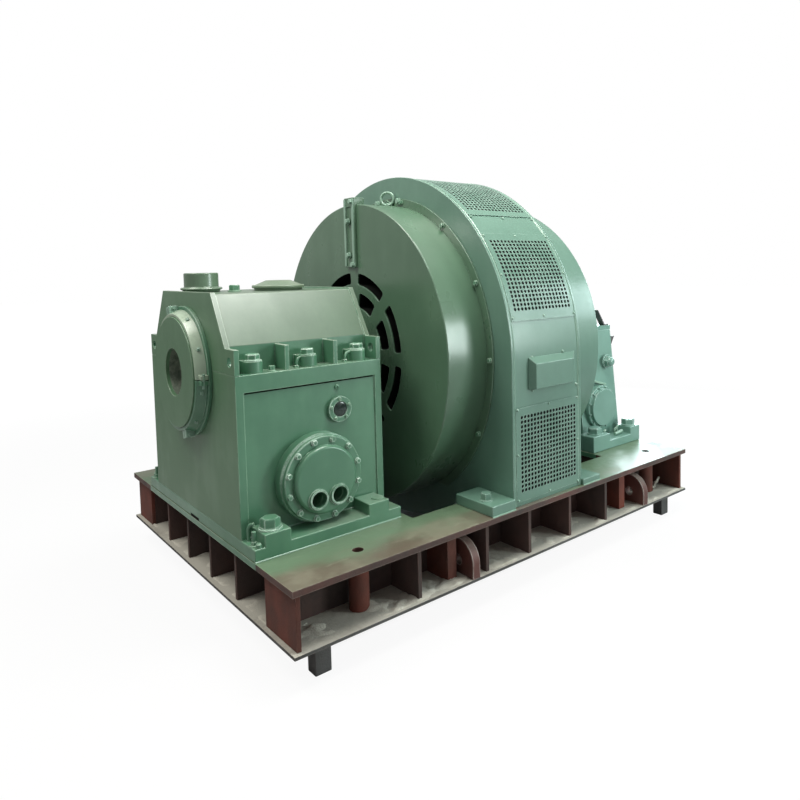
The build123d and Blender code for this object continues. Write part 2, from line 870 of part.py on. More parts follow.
def guide_foot():
    top = guide_foot_top
    foot = block(guide_foot_start, guide_foot_end, -guide_foot_half, guide_foot_half, deck, top)
    inner = -guide_lower_half - guide_pad_gap
    pads = [(guide_foot_start, guide_foot_start + guide_front_pad)]
    pads.append((guide_foot_end - guide_back_pad, guide_foot_end))
    for x0, x1 in pads:
        pad = block(x0, x1, -guide_foot_half, inner, top, guide_pad_top)
        foot += pad
        foot += pad.mirror(Plane.XZ)
    return [foot]


def guide_housing():
    side = [(guide_lower_half, guide_foot_top), (guide_joint_half, guide_joint)]
    outline = [(-y, z) for y, z in side] + [(y, z) for y, z in reversed(side)]
    body = plate_x(outline, guide_body_start, guide_body_end)
    body -= shaft_hole(guide_body_start - 1, guide_body_end - guide_cap_margin)
    return [body]


def guide_cap():
    top = guide_joint + guide_flange
    half = guide_joint_half
    cap = block(guide_body_start, guide_body_end, -half, half, guide_joint, top)
    x0, x1 = guide_body_start + guide_cap_margin, guide_body_end - guide_cap_margin
    dome = disc_x(x0, x1, guide_cap_radius)
    dome = dome & block(x0, x1, -half, half, guide_joint, shaft_height + guide_cap_radius)
    cap += dome
    cap -= shaft_hole(guide_body_start - 1, guide_body_end - guide_cap_margin)
    return [cap]


def guide_side_face(z):
    """Half width of the housing at a height."""
    share = (z - guide_foot_top) / (guide_joint - guide_foot_top)
    return guide_lower_half + share * (guide_joint_half - guide_lower_half)


def guide_side_covers():
    """Round cover on an upright ring, cut to the sloped side of the housing."""
    x = guide_middle + guide_cover_offset
    z = guide_foot_top + guide_cover_rise
    front = -guide_side_face(z - guide_ring_radius) - guide_ring_depth
    ring = disc_y(front, -guide_joint_half, guide_ring_radius, x, z)
    ring += disc_y(front - guide_cover_depth, front, guide_cover_radius, x, z)
    return mirrored([ring - guide_housing()[0]])


def guide_plugs():
    x = guide_middle + guide_plug_offset
    z = guide_joint - guide_plug_drop
    face = guide_side_face(z)
    plug = disc_y(-face - guide_plug_head, -guide_joint_half, guide_plug_radius, x, z)
    plug += disc_y(-face - guide_plug_depth, -guide_joint_half, guide_plug_neck, x, z)
    return mirrored([plug - guide_housing()[0]])


def sensor_brackets():
    """Leaning bracket on the cap's flange and a gusseted arm on the housing's end."""
    low = guide_joint + guide_flange
    high = low + bracket_height
    x = guide_middle + bracket_offset
    tip = x - bracket_lean
    y0 = -guide_joint_half + bracket_inset
    y1 = y0 + bracket_width
    plate = bracket_plate
    foot = [(x, low), (x + bracket_foot, low), (x + bracket_foot, low + plate), (x + plate, low + plate)]
    leaning = plate_y(foot + [(tip + plate, high), (tip, high)], y0, y1)
    end = guide_body_end
    top = guide_joint - bracket_arm_drop
    bottom = top - bracket_arm_height
    gusset = [(end, bottom), (end + plate, bottom), (end + bracket_arm_reach, top), (end, top)]
    arm = plate_y(gusset, y0, y0 + plate)
    arm += block(end, end + bracket_arm_reach, y0, y1, top - plate, top)
    return [leaning, arm]


# Every sub-part by name

pieces = {
    "base_top_plate": base_top_plate(),
    "base_bottom_plate": base_bottom_plate(),
    "base_side_webs": base_side_webs(),
    "base_end_webs": base_end_webs(),
    "base_cross_webs": base_cross_webs(),
    "base_side_ribs": base_side_ribs(),
    "base_end_ribs": base_end_ribs(),
    "base_corner_plates": base_corner_plates(),
    "lifting_lugs": lifting_lugs(),
    "lug_posts": lug_posts(),
    "anchor_tubes": anchor_tubes(),
    "packing_blocks": packing_blocks(),
    "thrust_foot": thrust_foot(),
    "thrust_housing": thrust_housing(),
    "thrust_cap": thrust_cap(),
    "thrust_cap_bolts": thrust_cap_bolts(),
    "seal_flange_ring": seal_flange_ring(),
    "seal_ring_upper": seal_half(True),
    "seal_ring_lower": seal_half(False),
    "seal_disc": seal_disc(),
    "cooler_rings": cooler_rings(),
    "cooler_covers": cooler_covers(),
    "oil_gauges": oil_gauges(),
    "breather": breather(),
    "inspection_cover": inspection_cover(),
    "shaft": shaft(),
    "front_drum": front_drum(),
    "drum_joint_bar": drum_joint_bar(),
    "drum_flange_rings": drum_flange_rings(),
    "stator_plate_thrust_end": stator_plate_thrust_end(),
    "stator_casing": stator_casing(),
    "stator_plate_guide_end": stator_plate_guide_end(),
    "top_grilles": top_grilles(),
    "upper_grilles": upper_grilles(),
    "lower_grilles": lower_grilles(),
    "terminal_boxes": terminal_boxes(),
    "stator_feet": stator_feet(),
    "rear_drum": rear_drum(),
    "foot_bolts": foot_bolts(),
    "guide_foot": guide_foot(),
    "guide_housing": guide_housing(),
    "guide_cap": guide_cap(),
    "guide_side_covers": guide_side_covers(),
    "guide_plugs": guide_plugs(),
    "sensor_brackets": sensor_brackets(),
}

# The stored frame has its origin on the ground, in the middle of the whole machine.
stand = Location((frame_shift, 0, block_height))
os.makedirs("parts", exist_ok=True)
for name, solids in pieces.items():
    placed = [solid.moved(stand) for solid in solids]
    shape = placed[0] if len(placed) == 1 else Compound(children=placed)
    export_step(shape, "parts/" + name + ".step")
    print(name, len(solids))
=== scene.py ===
# %% [markdown]
# A horizontal hydroelectric generator on its welded base frame.
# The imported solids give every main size, so the first step loads them as a fixed frame.
# Everything here is built around them: finer copies of the machined and welded parts,
# the perforated panels, the small bolts and screws, and the paint.

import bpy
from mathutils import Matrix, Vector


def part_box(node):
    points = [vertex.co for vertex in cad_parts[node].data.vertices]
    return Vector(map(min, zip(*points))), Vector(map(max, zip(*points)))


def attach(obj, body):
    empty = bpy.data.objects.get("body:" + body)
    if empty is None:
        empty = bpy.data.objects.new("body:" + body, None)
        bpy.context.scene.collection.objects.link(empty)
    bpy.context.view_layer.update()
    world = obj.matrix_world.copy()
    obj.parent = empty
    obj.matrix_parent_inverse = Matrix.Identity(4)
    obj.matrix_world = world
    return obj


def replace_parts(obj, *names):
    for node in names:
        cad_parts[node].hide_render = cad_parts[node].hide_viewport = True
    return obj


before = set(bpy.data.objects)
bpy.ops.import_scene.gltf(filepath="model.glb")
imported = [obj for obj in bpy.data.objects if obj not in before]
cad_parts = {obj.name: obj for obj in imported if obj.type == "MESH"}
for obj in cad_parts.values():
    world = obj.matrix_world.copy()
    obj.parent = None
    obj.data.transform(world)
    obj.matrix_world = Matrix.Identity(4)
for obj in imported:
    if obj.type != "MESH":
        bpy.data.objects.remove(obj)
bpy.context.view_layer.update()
print("nodes", len(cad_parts))

# %% [markdown]
# A workshop drawing of this machine is in millimetres, with the shaft along X, the
# middle of the base at zero and heights counted from the underside of the base frame.
# The pieces are built in those drawing units, because their sizes then read as they
# would on paper, and one matrix takes a finished mesh into the frame in metres.

# %% Drawing units
import math

import bmesh
import bpy
from mathutils import Matrix, Vector
from mathutils import noise as rough_noise

deck_low, deck_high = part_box("base_top_plate")
shift = (deck_low.x + deck_high.x) / 2
DECK = 275.0
SHAFT = 1016.0
to_frame = Matrix.Translation((shift, 0, deck_high.z - DECK / 1000)) @ Matrix.Scale(0.001, 4)
to_drawing = to_frame.inverted()
print("drawing zero is at", [round(v, 4) for v in to_frame.translation])

# %% [markdown]
# The camera stands where the photographer stood, at about eye height beside the thrust
# bearing. Its place, tilt and lens were worked out beforehand from the straight edges of
# the base and the round rims, so here they are only set.

# %% Camera
view_turn, view_drop, view_roll = 0.7278, 0.0658, -0.0184
forward = Vector((math.sin(view_turn) * math.cos(view_drop),
                  math.cos(view_turn) * math.cos(view_drop), -math.sin(view_drop)))
level = Vector((math.cos(view_turn), -math.sin(view_turn), 0))
upright = level.cross(forward)
right = math.cos(view_roll) * level + math.sin(view_roll) * upright
above = -math.sin(view_roll) * level + math.cos(view_roll) * upright
lens = bpy.data.cameras.new("photo_camera")
lens.sensor_width = 36
lens.lens = 30.02
lens.shift_x = -0.0902
lens.shift_y = -0.1114
camera = bpy.data.objects.new("photo_camera", lens)
bpy.context.scene.collection.objects.link(camera)
turn = Matrix((right, above, -forward)).transposed().to_4x4()
camera.matrix_world = Matrix.Translation((-2.4777, -3.3473, 1.6361)) @ turn
bpy.context.scene.camera = camera
print("camera looks along", [round(v, 3) for v in forward])

# %% [markdown]
# Paint, dust and wear look different on every part, but they come about in the same way.
# So each effect is a node group, built once. The first one finds edges: the Bevel node
# rounds the normal near an edge, and where that differs from the true normal the edge
# gets a pale colour, partly paint rubbed thin and partly a painted highlight of the light
# that a rounded edge catches.

# %% Group for worn edges
def new_group(name, inputs, outputs):
    group = bpy.data.node_groups.new(name, "ShaderNodeTree")
    for label, value in inputs.items():
        socket = group.interface.new_socket(label, in_out="INPUT", socket_type="NodeSocketFloat")
        socket.default_value = value
    for label in outputs:
        group.interface.new_socket(label, in_out="OUTPUT", socket_type="NodeSocketFloat")
    return group, group.nodes.new("NodeGroupInput"), group.nodes.new("NodeGroupOutput")


def node(tree, kind, settings=None, values=None):
    made = tree.nodes.new(kind)
    for key, value in (settings or {}).items():
        setattr(made, key, value)
    for key, value in (values or {}).items():
        made.inputs[key].default_value = value
    return made


def noise(tree, scale, detail=3.0, roughness=0.55, stretch=(1, 1, 1)):
    place = node(tree, "ShaderNodeTexCoord")
    mapping = node(tree, "ShaderNodeMapping", values={"Scale": stretch})
    made = node(tree, "ShaderNodeTexNoise",
                values={"Scale": scale, "Detail": detail, "Roughness": roughness})
    tree.links.new(place.outputs["Object"], mapping.inputs["Vector"])
    tree.links.new(mapping.outputs["Vector"], made.inputs["Vector"])
    return made.outputs["Fac"]


def ramp(tree, source, low, high, bottom=0.0, top=1.0):
    made = node(tree, "ShaderNodeMapRange", {"interpolation_type": "SMOOTHSTEP"},
                {"From Min": low, "From Max": high, "To Min": bottom, "To Max": top})
    tree.links.new(source, made.inputs["Value"])
    return made.outputs["Result"]


def math_node(tree, operation, first, second):
    made = node(tree, "ShaderNodeMath", {"operation": operation})
    for index, source in enumerate((first, second)):
        if isinstance(source, (int, float)):
            made.inputs[index].default_value = source
        else:
            tree.links.new(source, made.inputs[index])
    return made.outputs[0]


worn_and_highlit_edges, inside, outside = new_group("worn_and_highlit_edges", {"Width": 0.006, "Amount": 1.0}, ["Mask"])
rounded = node(worn_and_highlit_edges, "ShaderNodeBevel", {"samples": 4})
worn_and_highlit_edges.links.new(inside.outputs["Width"], rounded.inputs["Radius"])
true_normal = node(worn_and_highlit_edges, "ShaderNodeNewGeometry")
compared = node(worn_and_highlit_edges, "ShaderNodeVectorMath", {"operation": "DOT_PRODUCT"})
worn_and_highlit_edges.links.new(rounded.outputs["Normal"], compared.inputs[0])
worn_and_highlit_edges.links.new(true_normal.outputs["Normal"], compared.inputs[1])
edge = ramp(worn_and_highlit_edges, compared.outputs["Value"], 0.985, 0.88)
patchy = ramp(worn_and_highlit_edges, noise(worn_and_highlit_edges, 9.0, 5.0, 0.65), 0.34, 0.60)
amount = math_node(worn_and_highlit_edges, "MULTIPLY", inside.outputs["Amount"], patchy)
worn_and_highlit_edges.links.new(math_node(worn_and_highlit_edges, "MULTIPLY", edge, amount), outside.inputs["Mask"])
print("group", worn_and_highlit_edges.name)

# %% [markdown]
# Dust settles on whatever faces up. The second group takes the upward share of the
# normal and breaks it with two noises, a broad one for drifts and a fine one for grains.

# %% Group for settled dust
settled_dust, inside, outside = new_group("settled_dust", {"Amount": 0.5, "Spread": 0.5}, ["Mask"])
facing = node(settled_dust, "ShaderNodeNewGeometry")
split = node(settled_dust, "ShaderNodeSeparateXYZ")
settled_dust.links.new(facing.outputs["Normal"], split.inputs[0])
upward = ramp(settled_dust, split.outputs["Z"], 0.35, 0.95)
drifts = noise(settled_dust, 1.7, 5.0, 0.6)
grains = noise(settled_dust, 55.0, 2.0, 0.6)
both = math_node(settled_dust, "ADD", math_node(settled_dust, "MULTIPLY", drifts, 0.75),
                 math_node(settled_dust, "MULTIPLY", grains, 0.25))
low = math_node(settled_dust, "SUBTRACT", 0.62,
                math_node(settled_dust, "MULTIPLY", inside.outputs["Spread"], 0.5))
over = math_node(settled_dust, "MULTIPLY", math_node(settled_dust, "SUBTRACT", both, low), 5.0)
cover = node(settled_dust, "ShaderNodeClamp")
settled_dust.links.new(over, cover.inputs["Value"])
lying = math_node(settled_dust, "MULTIPLY", cover.outputs[0], upward)
settled_dust.links.new(math_node(settled_dust, "MULTIPLY", lying, inside.outputs["Amount"]),
                       outside.inputs["Mask"])
print("group", settled_dust.name)

# %% [markdown]
# Brushed and sprayed enamel is never one even tone. The third group gives a cloudy tone,
# faint upright runs, and the fine orange peel that breaks up the gloss.

# %% Group for the enamel's unevenness
uneven_coat, inside, outside = new_group("uneven_coat", {"Peel": 1.0}, ["Tone", "Height"])
clouds = noise(uneven_coat, 2.6, 4.0, 0.6)
runs = noise(uneven_coat, 7.0, 3.0, 0.6, (1.0, 1.0, 0.18))
tone = math_node(uneven_coat, "ADD", math_node(uneven_coat, "MULTIPLY", clouds, 0.65),
                 math_node(uneven_coat, "MULTIPLY", runs, 0.35))
uneven_coat.links.new(ramp(uneven_coat, tone, 0.35, 0.65), outside.inputs["Tone"])
peel = noise(uneven_coat, 130.0, 2.0, 0.5)
waves = noise(uneven_coat, 11.0, 2.0, 0.5)
height = math_node(uneven_coat, "ADD", math_node(uneven_coat, "MULTIPLY", peel, inside.outputs["Peel"]),
                   math_node(uneven_coat, "MULTIPLY", waves, 1.6))
uneven_coat.links.new(height, outside.inputs["Height"])
print("group", uneven_coat.name)

# %% [markdown]
# A painted finish is layered in the order that a workshop would see it: the coat with its
# uneven tone, dust on top of it, and pale edges last, partly rubbed wear and partly painted
# highlight. Each finish sets its own colours and amounts, and leaves the rest to the groups.

# %% Painted finishes
def place_group(tree, group, values):
    return node(tree, "ShaderNodeGroup", {"node_tree": group}, values)


def mix_colour(tree, factor, first, second):
    made = node(tree, "ShaderNodeMix", {"data_type": "RGBA"})
    for socket, source in ((made.inputs[0], factor), (made.inputs[6], first), (made.inputs[7], second)):
        if isinstance(source, (tuple, float)):
            socket.default_value = source if isinstance(source, float) else (*source, 1)
        else:
            tree.links.new(source, socket)
    return made.outputs[2]


def new_material(name):
    """A material with its node tree and its shader."""
    made = bpy.data.materials.new(name)
    made.use_nodes = True
    return made, made.node_tree, made.node_tree.nodes["Principled BSDF"]


def add_relief(tree, shader, height, strength, distance):
    relief = node(tree, "ShaderNodeBump", values={"Strength": strength, "Distance": distance})
    tree.links.new(height, relief.inputs["Height"])
    tree.links.new(relief.outputs["Normal"], shader.inputs["Normal"])


def painted(name, light, dark, dust_colour, wear_and_highlight_colour, rough, dust, edge_wear_and_highlight, peel=1.0, bump=0.0003,
            gloss_coat=0.0):
    """Enamel: dust is (amount, spread); the second pair is the pale edge's (width, amount), partly wear and
    partly painted highlight.
    """
    made, tree, shader = new_material(name)
    coat = place_group(tree, uneven_coat, {"Peel": peel})
    lying = place_group(tree, settled_dust, {"Amount": dust[0], "Spread": dust[1]})
    edges = place_group(tree, worn_and_highlit_edges, {"Width": edge_wear_and_highlight[0], "Amount": edge_wear_and_highlight[1]})
    colour = mix_colour(tree, coat.outputs["Tone"], dark, light)
    colour = mix_colour(tree, lying.outputs["Mask"], colour, dust_colour)
    colour = mix_colour(tree, edges.outputs["Mask"], colour, wear_and_highlight_colour)
    tree.links.new(colour, shader.inputs["Base Color"])
    gloss = ramp(tree, coat.outputs["Tone"], 0.0, 1.0, rough + 0.06, rough - 0.04)
    dusty = math_node(tree, "MULTIPLY", lying.outputs["Mask"], 0.4)
    tree.links.new(math_node(tree, "ADD", gloss, dusty), shader.inputs["Roughness"])
    add_relief(tree, shader, coat.outputs["Height"], 0.6, bump)
    shader.inputs["Coat Weight"].default_value = gloss_coat
    shader.inputs["Coat Roughness"].default_value = 0.22
    return made


green_enamel = painted("green_enamel", (0.096, 0.236, 0.142), (0.064, 0.176, 0.102), (0.29, 0.32, 0.25),
                       (0.46, 0.62, 0.48), 0.34, (0.50, 0.35), (0.007, 0.85), gloss_coat=0.5)
# A darker, duller copy of the green for the end faces that look away from the main lights: painted shade.
shaded_end_enamel = painted("shaded_end_enamel", (0.091, 0.186, 0.101), (0.081, 0.166, 0.090), (0.20, 0.22, 0.16),
                     (0.40, 0.50, 0.38), 0.40, (0.10, 0.10), (0.006, 0.8), gloss_coat=0.2)
roof_enamel = painted("roof_enamel", (0.112, 0.178, 0.116), (0.084, 0.140, 0.088), (0.26, 0.29, 0.23),
                      (0.50, 0.60, 0.48), 0.36, (0.30, 0.25), (0.007, 0.9), gloss_coat=0.4)
# A lighter green for the inspection cover, which paints the light that its rim catches.
lit_lid_enamel = painted("lit_lid_enamel", (0.200, 0.270, 0.185), (0.150, 0.210, 0.140), (0.30, 0.34, 0.27),
                     (0.60, 0.70, 0.58), 0.34, (0.20, 0.20), (0.008, 0.9), gloss_coat=0.4)
# Green enamel whose very pale, wide edges are painted highlights as well as rubbed wear.
highlit_rim_enamel = painted("highlit_rim_enamel", (0.096, 0.236, 0.142), (0.064, 0.176, 0.102), (0.29, 0.32, 0.25),
                     (0.66, 0.82, 0.70), 0.34, (0.30, 0.25), (0.010, 1.0), gloss_coat=0.5)
# A pale green that paints the highlight on the seal ring's upper half and on the cap's joint beads.
painted_highlight_enamel = painted("painted_highlight_enamel", (0.380, 0.480, 0.360), (0.260, 0.350, 0.250), (0.34, 0.38, 0.30),
                      (0.55, 0.64, 0.52), 0.30, (0.10, 0.10), (0.004, 0.8), gloss_coat=0.5)
casing_enamel = painted("casing_enamel", (0.126, 0.232, 0.176), (0.098, 0.194, 0.144), (0.22, 0.30, 0.24),
                        (0.44, 0.58, 0.50), 0.36, (0.15, 0.10), (0.006, 0.75), gloss_coat=0.4)
# A lighter green for the guide bearing's parts, which paints the stronger window light at that end.
lit_guide_enamel = painted("lit_guide_enamel", (0.165, 0.305, 0.250), (0.135, 0.260, 0.208), (0.26, 0.34, 0.28),
                       (0.50, 0.64, 0.58), 0.34, (0.15, 0.10), (0.006, 0.75), gloss_coat=0.5)
drum_enamel = painted("drum_enamel", (0.092, 0.172, 0.108), (0.074, 0.144, 0.088), (0.20, 0.26, 0.20),
                      (0.40, 0.56, 0.46), 0.30, (0.15, 0.10), (0.005, 0.8), gloss_coat=0.5)
# A pale green for small raised fittings, beads and edges, partly rubbed wear and partly painted highlight.
rubbed_and_highlit_enamel = painted("rubbed_and_highlit_enamel", (0.260, 0.400, 0.310), (0.180, 0.310, 0.230), (0.36, 0.44, 0.36),
                      (0.50, 0.64, 0.54), 0.32, (0.2, 0.2), (0.003, 0.3), gloss_coat=0.4)
red_oxide = painted("red_oxide", (0.160, 0.034, 0.019), (0.070, 0.026, 0.018), (0.11, 0.09, 0.07),
                    (0.26, 0.15, 0.12), 0.80, (0.70, 0.60), (0.004, 0.8), 2.0, 0.0008)
# A darker, grimier primer for the webs and ribs deep in the base's recess: partly grime and partly painted
# shade.
grime_and_shade_oxide = painted("grime_and_shade_oxide", (0.078, 0.040, 0.033), (0.042, 0.031, 0.027), (0.14, 0.12, 0.10),
                      (0.22, 0.12, 0.10), 0.80, (0.80, 0.70), (0.005, 0.9), 2.0, 0.0008)
edge_oxide = painted("edge_oxide", (0.100, 0.036, 0.027), (0.042, 0.028, 0.023), (0.13, 0.12, 0.09),
                     (0.22, 0.17, 0.14), 0.55, (0.60, 0.50), (0.008, 0.9), 2.0, 0.0010)
lug_oxide = painted("lug_oxide", (0.110, 0.036, 0.028), (0.060, 0.024, 0.019), (0.24, 0.20, 0.17),
                    (0.50, 0.44, 0.40), 0.55, (0.75, 0.70), (0.012, 1.0), 2.0, 0.0008)
dusty_floor = painted("dusty_floor", (0.360, 0.340, 0.285), (0.200, 0.180, 0.150), (0.460, 0.445, 0.385),
                      (0.08, 0.06, 0.05), 0.75, (0.90, 0.65), (0.004, 0.5), 2.0, 0.0012)
dry_sand = painted("dry_sand", (0.560, 0.540, 0.460), (0.370, 0.350, 0.290), (0.56, 0.54, 0.47),
                   (0.32, 0.30, 0.24), 0.85, (0.6, 0.6), (0.004, 0.1), 3.0, 0.0015)
grey_block = painted("grey_block", (0.090, 0.088, 0.085), (0.045, 0.043, 0.040), (0.20, 0.19, 0.17),
                     (0.24, 0.23, 0.21), 0.70, (0.6, 0.6), (0.006, 0.7), 3.0, 0.0010)
dark_bracket = painted("dark_bracket", (0.105, 0.092, 0.095), (0.055, 0.048, 0.050), (0.22, 0.21, 0.20),
                       (0.30, 0.28, 0.28), 0.45, (0.3, 0.4), (0.003, 0.6))
print("painted finishes", len(bpy.data.materials))

# %% [markdown]
# The deck has been walked on. Its green coat survives in clouds and streaks, brown grime
# lies between them, and toward the machine the coat is fresher, so the share of green
# grows with the distance from the deck's long edges.

# %% Deck finish
deck_enamel, tree, shader = new_material("deck_enamel")
split = node(tree, "ShaderNodeSeparateXYZ")
tree.links.new(node(tree, "ShaderNodeTexCoord").outputs["Object"], split.inputs[0])
inward = ramp(tree, math_node(tree, "ABSOLUTE", split.outputs["Y"], 0.0), 1.02, 0.74, 0.0, 0.34)
clouds = math_node(tree, "ADD", noise(tree, 1.9, 6.0, 0.62, (0.6, 1.4, 1.0)), inward)
green_left = ramp(tree, clouds, 0.46, 0.78)
grime = ramp(tree, noise(tree, 5.5, 5.0, 0.65), 0.40, 0.66)
ground = mix_colour(tree, grime, (0.118, 0.096, 0.070), (0.170, 0.156, 0.112))
coat = mix_colour(tree, green_left, ground, (0.110, 0.172, 0.104))
scuffs = ramp(tree, noise(tree, 24.0, 4.0, 0.7, (0.25, 1.0, 1.0)), 0.60, 0.74)
coat = mix_colour(tree, math_node(tree, "MULTIPLY", scuffs, 0.35), coat, (0.34, 0.34, 0.26))
edge_wear_and_highlight = place_group(tree, worn_and_highlit_edges, {"Width": 0.006, "Amount": 0.7})
coat = mix_colour(tree, edge_wear_and_highlight.outputs["Mask"], coat, (0.34, 0.32, 0.25))
tree.links.new(coat, shader.inputs["Base Color"])
tree.links.new(ramp(tree, grime, 0.0, 1.0, 0.34, 0.48), shader.inputs["Roughness"])
add_relief(tree, shader, noise(tree, 60.0, 3.0, 0.6), 0.5, 0.0005)
print("deck finish", deck_enamel.name)

# %% [markdown]
# Three finishes have no enamel. The bearing's bore is turned steel with fine rings round
# the axis and a film of oil, and the gauge has a glass. The third is painted shade: a
# near-black for the dark inside of the drums, behind the panels and in narrow grooves, so
# dark that only its gloss tells it from a hole.

# %% Bare steel, glass and painted shade
bare_steel, tree, shader = new_material("bare_steel")
shader.inputs["Metallic"].default_value = 0.35
stain = ramp(tree, noise(tree, 16.0, 5.0, 0.7), 0.4, 0.65)
steel = mix_colour(tree, stain, (0.12, 0.15, 0.115), (0.30, 0.34, 0.27))
tree.links.new(steel, shader.inputs["Base Color"])
tree.links.new(ramp(tree, stain, 0, 1, 0.55, 0.34), shader.inputs["Roughness"])
tool_marks = noise(tree, 40.0, 2.0, 0.5, (20.0, 1.0, 1.0))
add_relief(tree, shader, tool_marks, 0.5, 0.0004)

painted_shade, tree, shader = new_material("painted_shade")
shade_mottle = ramp(tree, noise(tree, 6.0, 4.0, 0.6), 0.35, 0.7)
black = mix_colour(tree, shade_mottle, (0.0015, 0.002, 0.0015), (0.005, 0.006, 0.005))
tree.links.new(black, shader.inputs["Base Color"])
tree.links.new(ramp(tree, shade_mottle, 0, 1, 0.95, 0.8), shader.inputs["Roughness"])
shader.inputs["Specular IOR Level"].default_value = 0.15

gauge_glass, tree, shader = new_material("gauge_glass")
film = ramp(tree, noise(tree, 30.0, 3.0, 0.6), 0.4, 0.6)
glass = mix_colour(tree, film, (0.012, 0.022, 0.018), (0.022, 0.036, 0.029))
tree.links.new(glass, shader.inputs["Base Color"])
tree.links.new(ramp(tree, film, 0, 1, 0.08, 0.16), shader.inputs["Roughness"])
shader.inputs["Coat Weight"].default_value = 0.25
print("materials", len(bpy.data.materials))

# %% [markdown]
# Every piece goes through the same last step: doubles merged, normals pointing out, the
# mesh taken from drawing units into the frame, smooth shading with sharp folds, and a
# weighted normal so that flat faces stay flat beside their rounded edges.

# %% Finish a piece
def finish_piece(bm, name, finish, fold=40):
    bmesh.ops.remove_doubles(bm, verts=bm.verts, dist=0.02)
    bmesh.ops.recalc_face_normals(bm, faces=bm.faces)
    bm.transform(to_frame)
    mesh = bpy.data.meshes.new(name)
    bm.to_mesh(mesh)
    bm.free()
    mesh.shade_smooth()
    mesh.set_sharp_from_angle(angle=math.radians(fold))
    for material in finish if isinstance(finish, list) else [finish]:
        mesh.materials.append(material)
    piece = bpy.data.objects.new(name, mesh)
    bpy.context.scene.collection.objects.link(piece)
    flat = piece.modifiers.new("flat faces", "WEIGHTED_NORMAL")
    flat.keep_sharp = True
    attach(piece, "root")
    print(name, "faces", len(mesh.polygons))
    return piece


# %% [markdown]
# Most castings and plates already have the right shape in the solids, but every edge there
# is a knife edge. A real edge is ground, cast or worn round, and catches the light. A copy
# of the solid's mesh is merged, its flat facets joined, and its folds bevelled.

# %% Round the edges of the welded and cast parts
def folds(bm):
    limit = math.radians(30)
    return [e for e in bm.edges if len(e.link_faces) == 2 and e.calc_face_angle(0) > limit]


def round_edges(bm, edges, width, segments=2):
    return bmesh.ops.bevel(bm, geom=edges, affect="EDGES", offset_type="OFFSET", offset=width,
                           segments=segments, profile=0.5, material=-1, clamp_overlap=True)


def solid_copy(name):
    bm = bmesh.new()
    bm.from_mesh(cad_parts[name].data)
    bm.transform(to_drawing)
    bmesh.ops.remove_doubles(bm, verts=bm.verts, dist=0.02)
    bmesh.ops.dissolve_limit(bm, angle_limit=math.radians(0.5), verts=bm.verts, edges=bm.edges)
    return bm


def dress(name, width, finish, segments=2, sort=None):
    """Copy, round and finish a solid; sort(bm) may give faces a second finish by number."""
    bm = solid_copy(name)
    round_edges(bm, folds(bm), width, segments)
    if sort:
        bm.normal_update()
        sort(bm)
    piece = finish_piece(bm, name.replace("_", "-") + "-dressed", finish)
    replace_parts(piece, name)


for name in ("base_corner_plates", "lug_posts", "anchor_tubes", "base_end_webs"):
    dress(name, 2.0, red_oxide)
# The webs and ribs inside the recess get the darker primer, partly painted shade.
for name in ("base_side_webs", "base_cross_webs", "base_side_ribs", "base_end_ribs"):
    dress(name, 2.0, grime_and_shade_oxide)
dress("lifting_lugs", 5.0, lug_oxide, 3)
dress("packing_blocks", 5.0, grey_block)
for name, width in (("thrust_foot", 5), ("seal_flange_ring", 3), ("seal_ring_lower", 3)):
    dress(name, width, green_enamel)
for name, width in (("cooler_rings", 5), ("cooler_covers", 4), ("oil_gauges", 3)):
    dress(name, width, highlit_rim_enamel)
dress("breather", 7, roof_enamel)
dress("inspection_cover", 5, lit_lid_enamel)
dress("seal_disc", 3, shaded_end_enamel)
# The seal ring's upper half is pale: painted highlight.
dress("seal_ring_upper", 3, painted_highlight_enamel)
for name, width in (("terminal_boxes", 4), ("stator_feet", 5), ("stator_casing", 2),
                    ("stator_plate_guide_end", 3), ("rear_drum", 3)):
    dress(name, width, casing_enamel)
for name, width in (("guide_foot", 6), ("guide_cap", 4), ("guide_side_covers", 5), ("guide_housing", 3)):
    dress(name, width, lit_guide_enamel)
dress("drum_joint_bar", 3, drum_enamel)
dress("drum_flange_rings", 2, drum_enamel)
dress("sensor_brackets", 1, dark_bracket)

# %% [markdown]
# Some solids show several finishes. The deck plate is green and dusty on top but its cut
# edges are primer, the bottom plate's edge is dark grey, the end faces of the thrust housing and
# its cap get a darker, duller copy of the green that paints the shade on that side, and the
# cap's slopes are greyer. Sorting the faces by the way they look is enough to tell them apart.

# %% Several finishes on one solid
def sort_plate(bm):
    for f in bm.faces:
        if abs(f.normal.z) < 0.7:
            f.material_index = 1
        elif f.normal.z < 0:
            f.material_index = 2


def sort_deck(bm):
    pit_side = 712
    for side in (-pit_side, pit_side):
        bmesh.ops.bisect_plane(bm, geom=bm.verts[:] + bm.edges[:] + bm.faces[:], dist=0.01,
                               plane_co=(0, side, 0), plane_no=(0, 1, 0))
    bm.normal_update()
    sort_plate(bm)
    for f in bm.faces:
        if f.normal.x < -0.7 and abs(f.calc_center_median().y) < pit_side:
            f.material_index = 3


def sort_end_face(bm):
    for f in bm.faces:
        if f.normal.x < -0.6 and f.calc_center_median().x < -1380:
            f.material_index = 1


def sort_cap(bm):
    sort_end_face(bm)
    for f in bm.faces:
        if f.normal.z > 0.15 and f.calc_center_median().z > 1100 and abs(f.normal.x) < 0.5:
            f.material_index = 2


deck_finishes = [deck_enamel, edge_oxide, red_oxide, green_enamel]
dress("base_top_plate", 3.0, deck_finishes, sort=sort_deck)
dress("base_bottom_plate", 2.0, [dusty_floor, grey_block, red_oxide], sort=sort_plate)
dress("thrust_housing", 6, [green_enamel, shaded_end_enamel], sort=sort_end_face)
dress("thrust_cap", 4, [green_enamel, shaded_end_enamel, roof_enamel], sort=sort_cap)

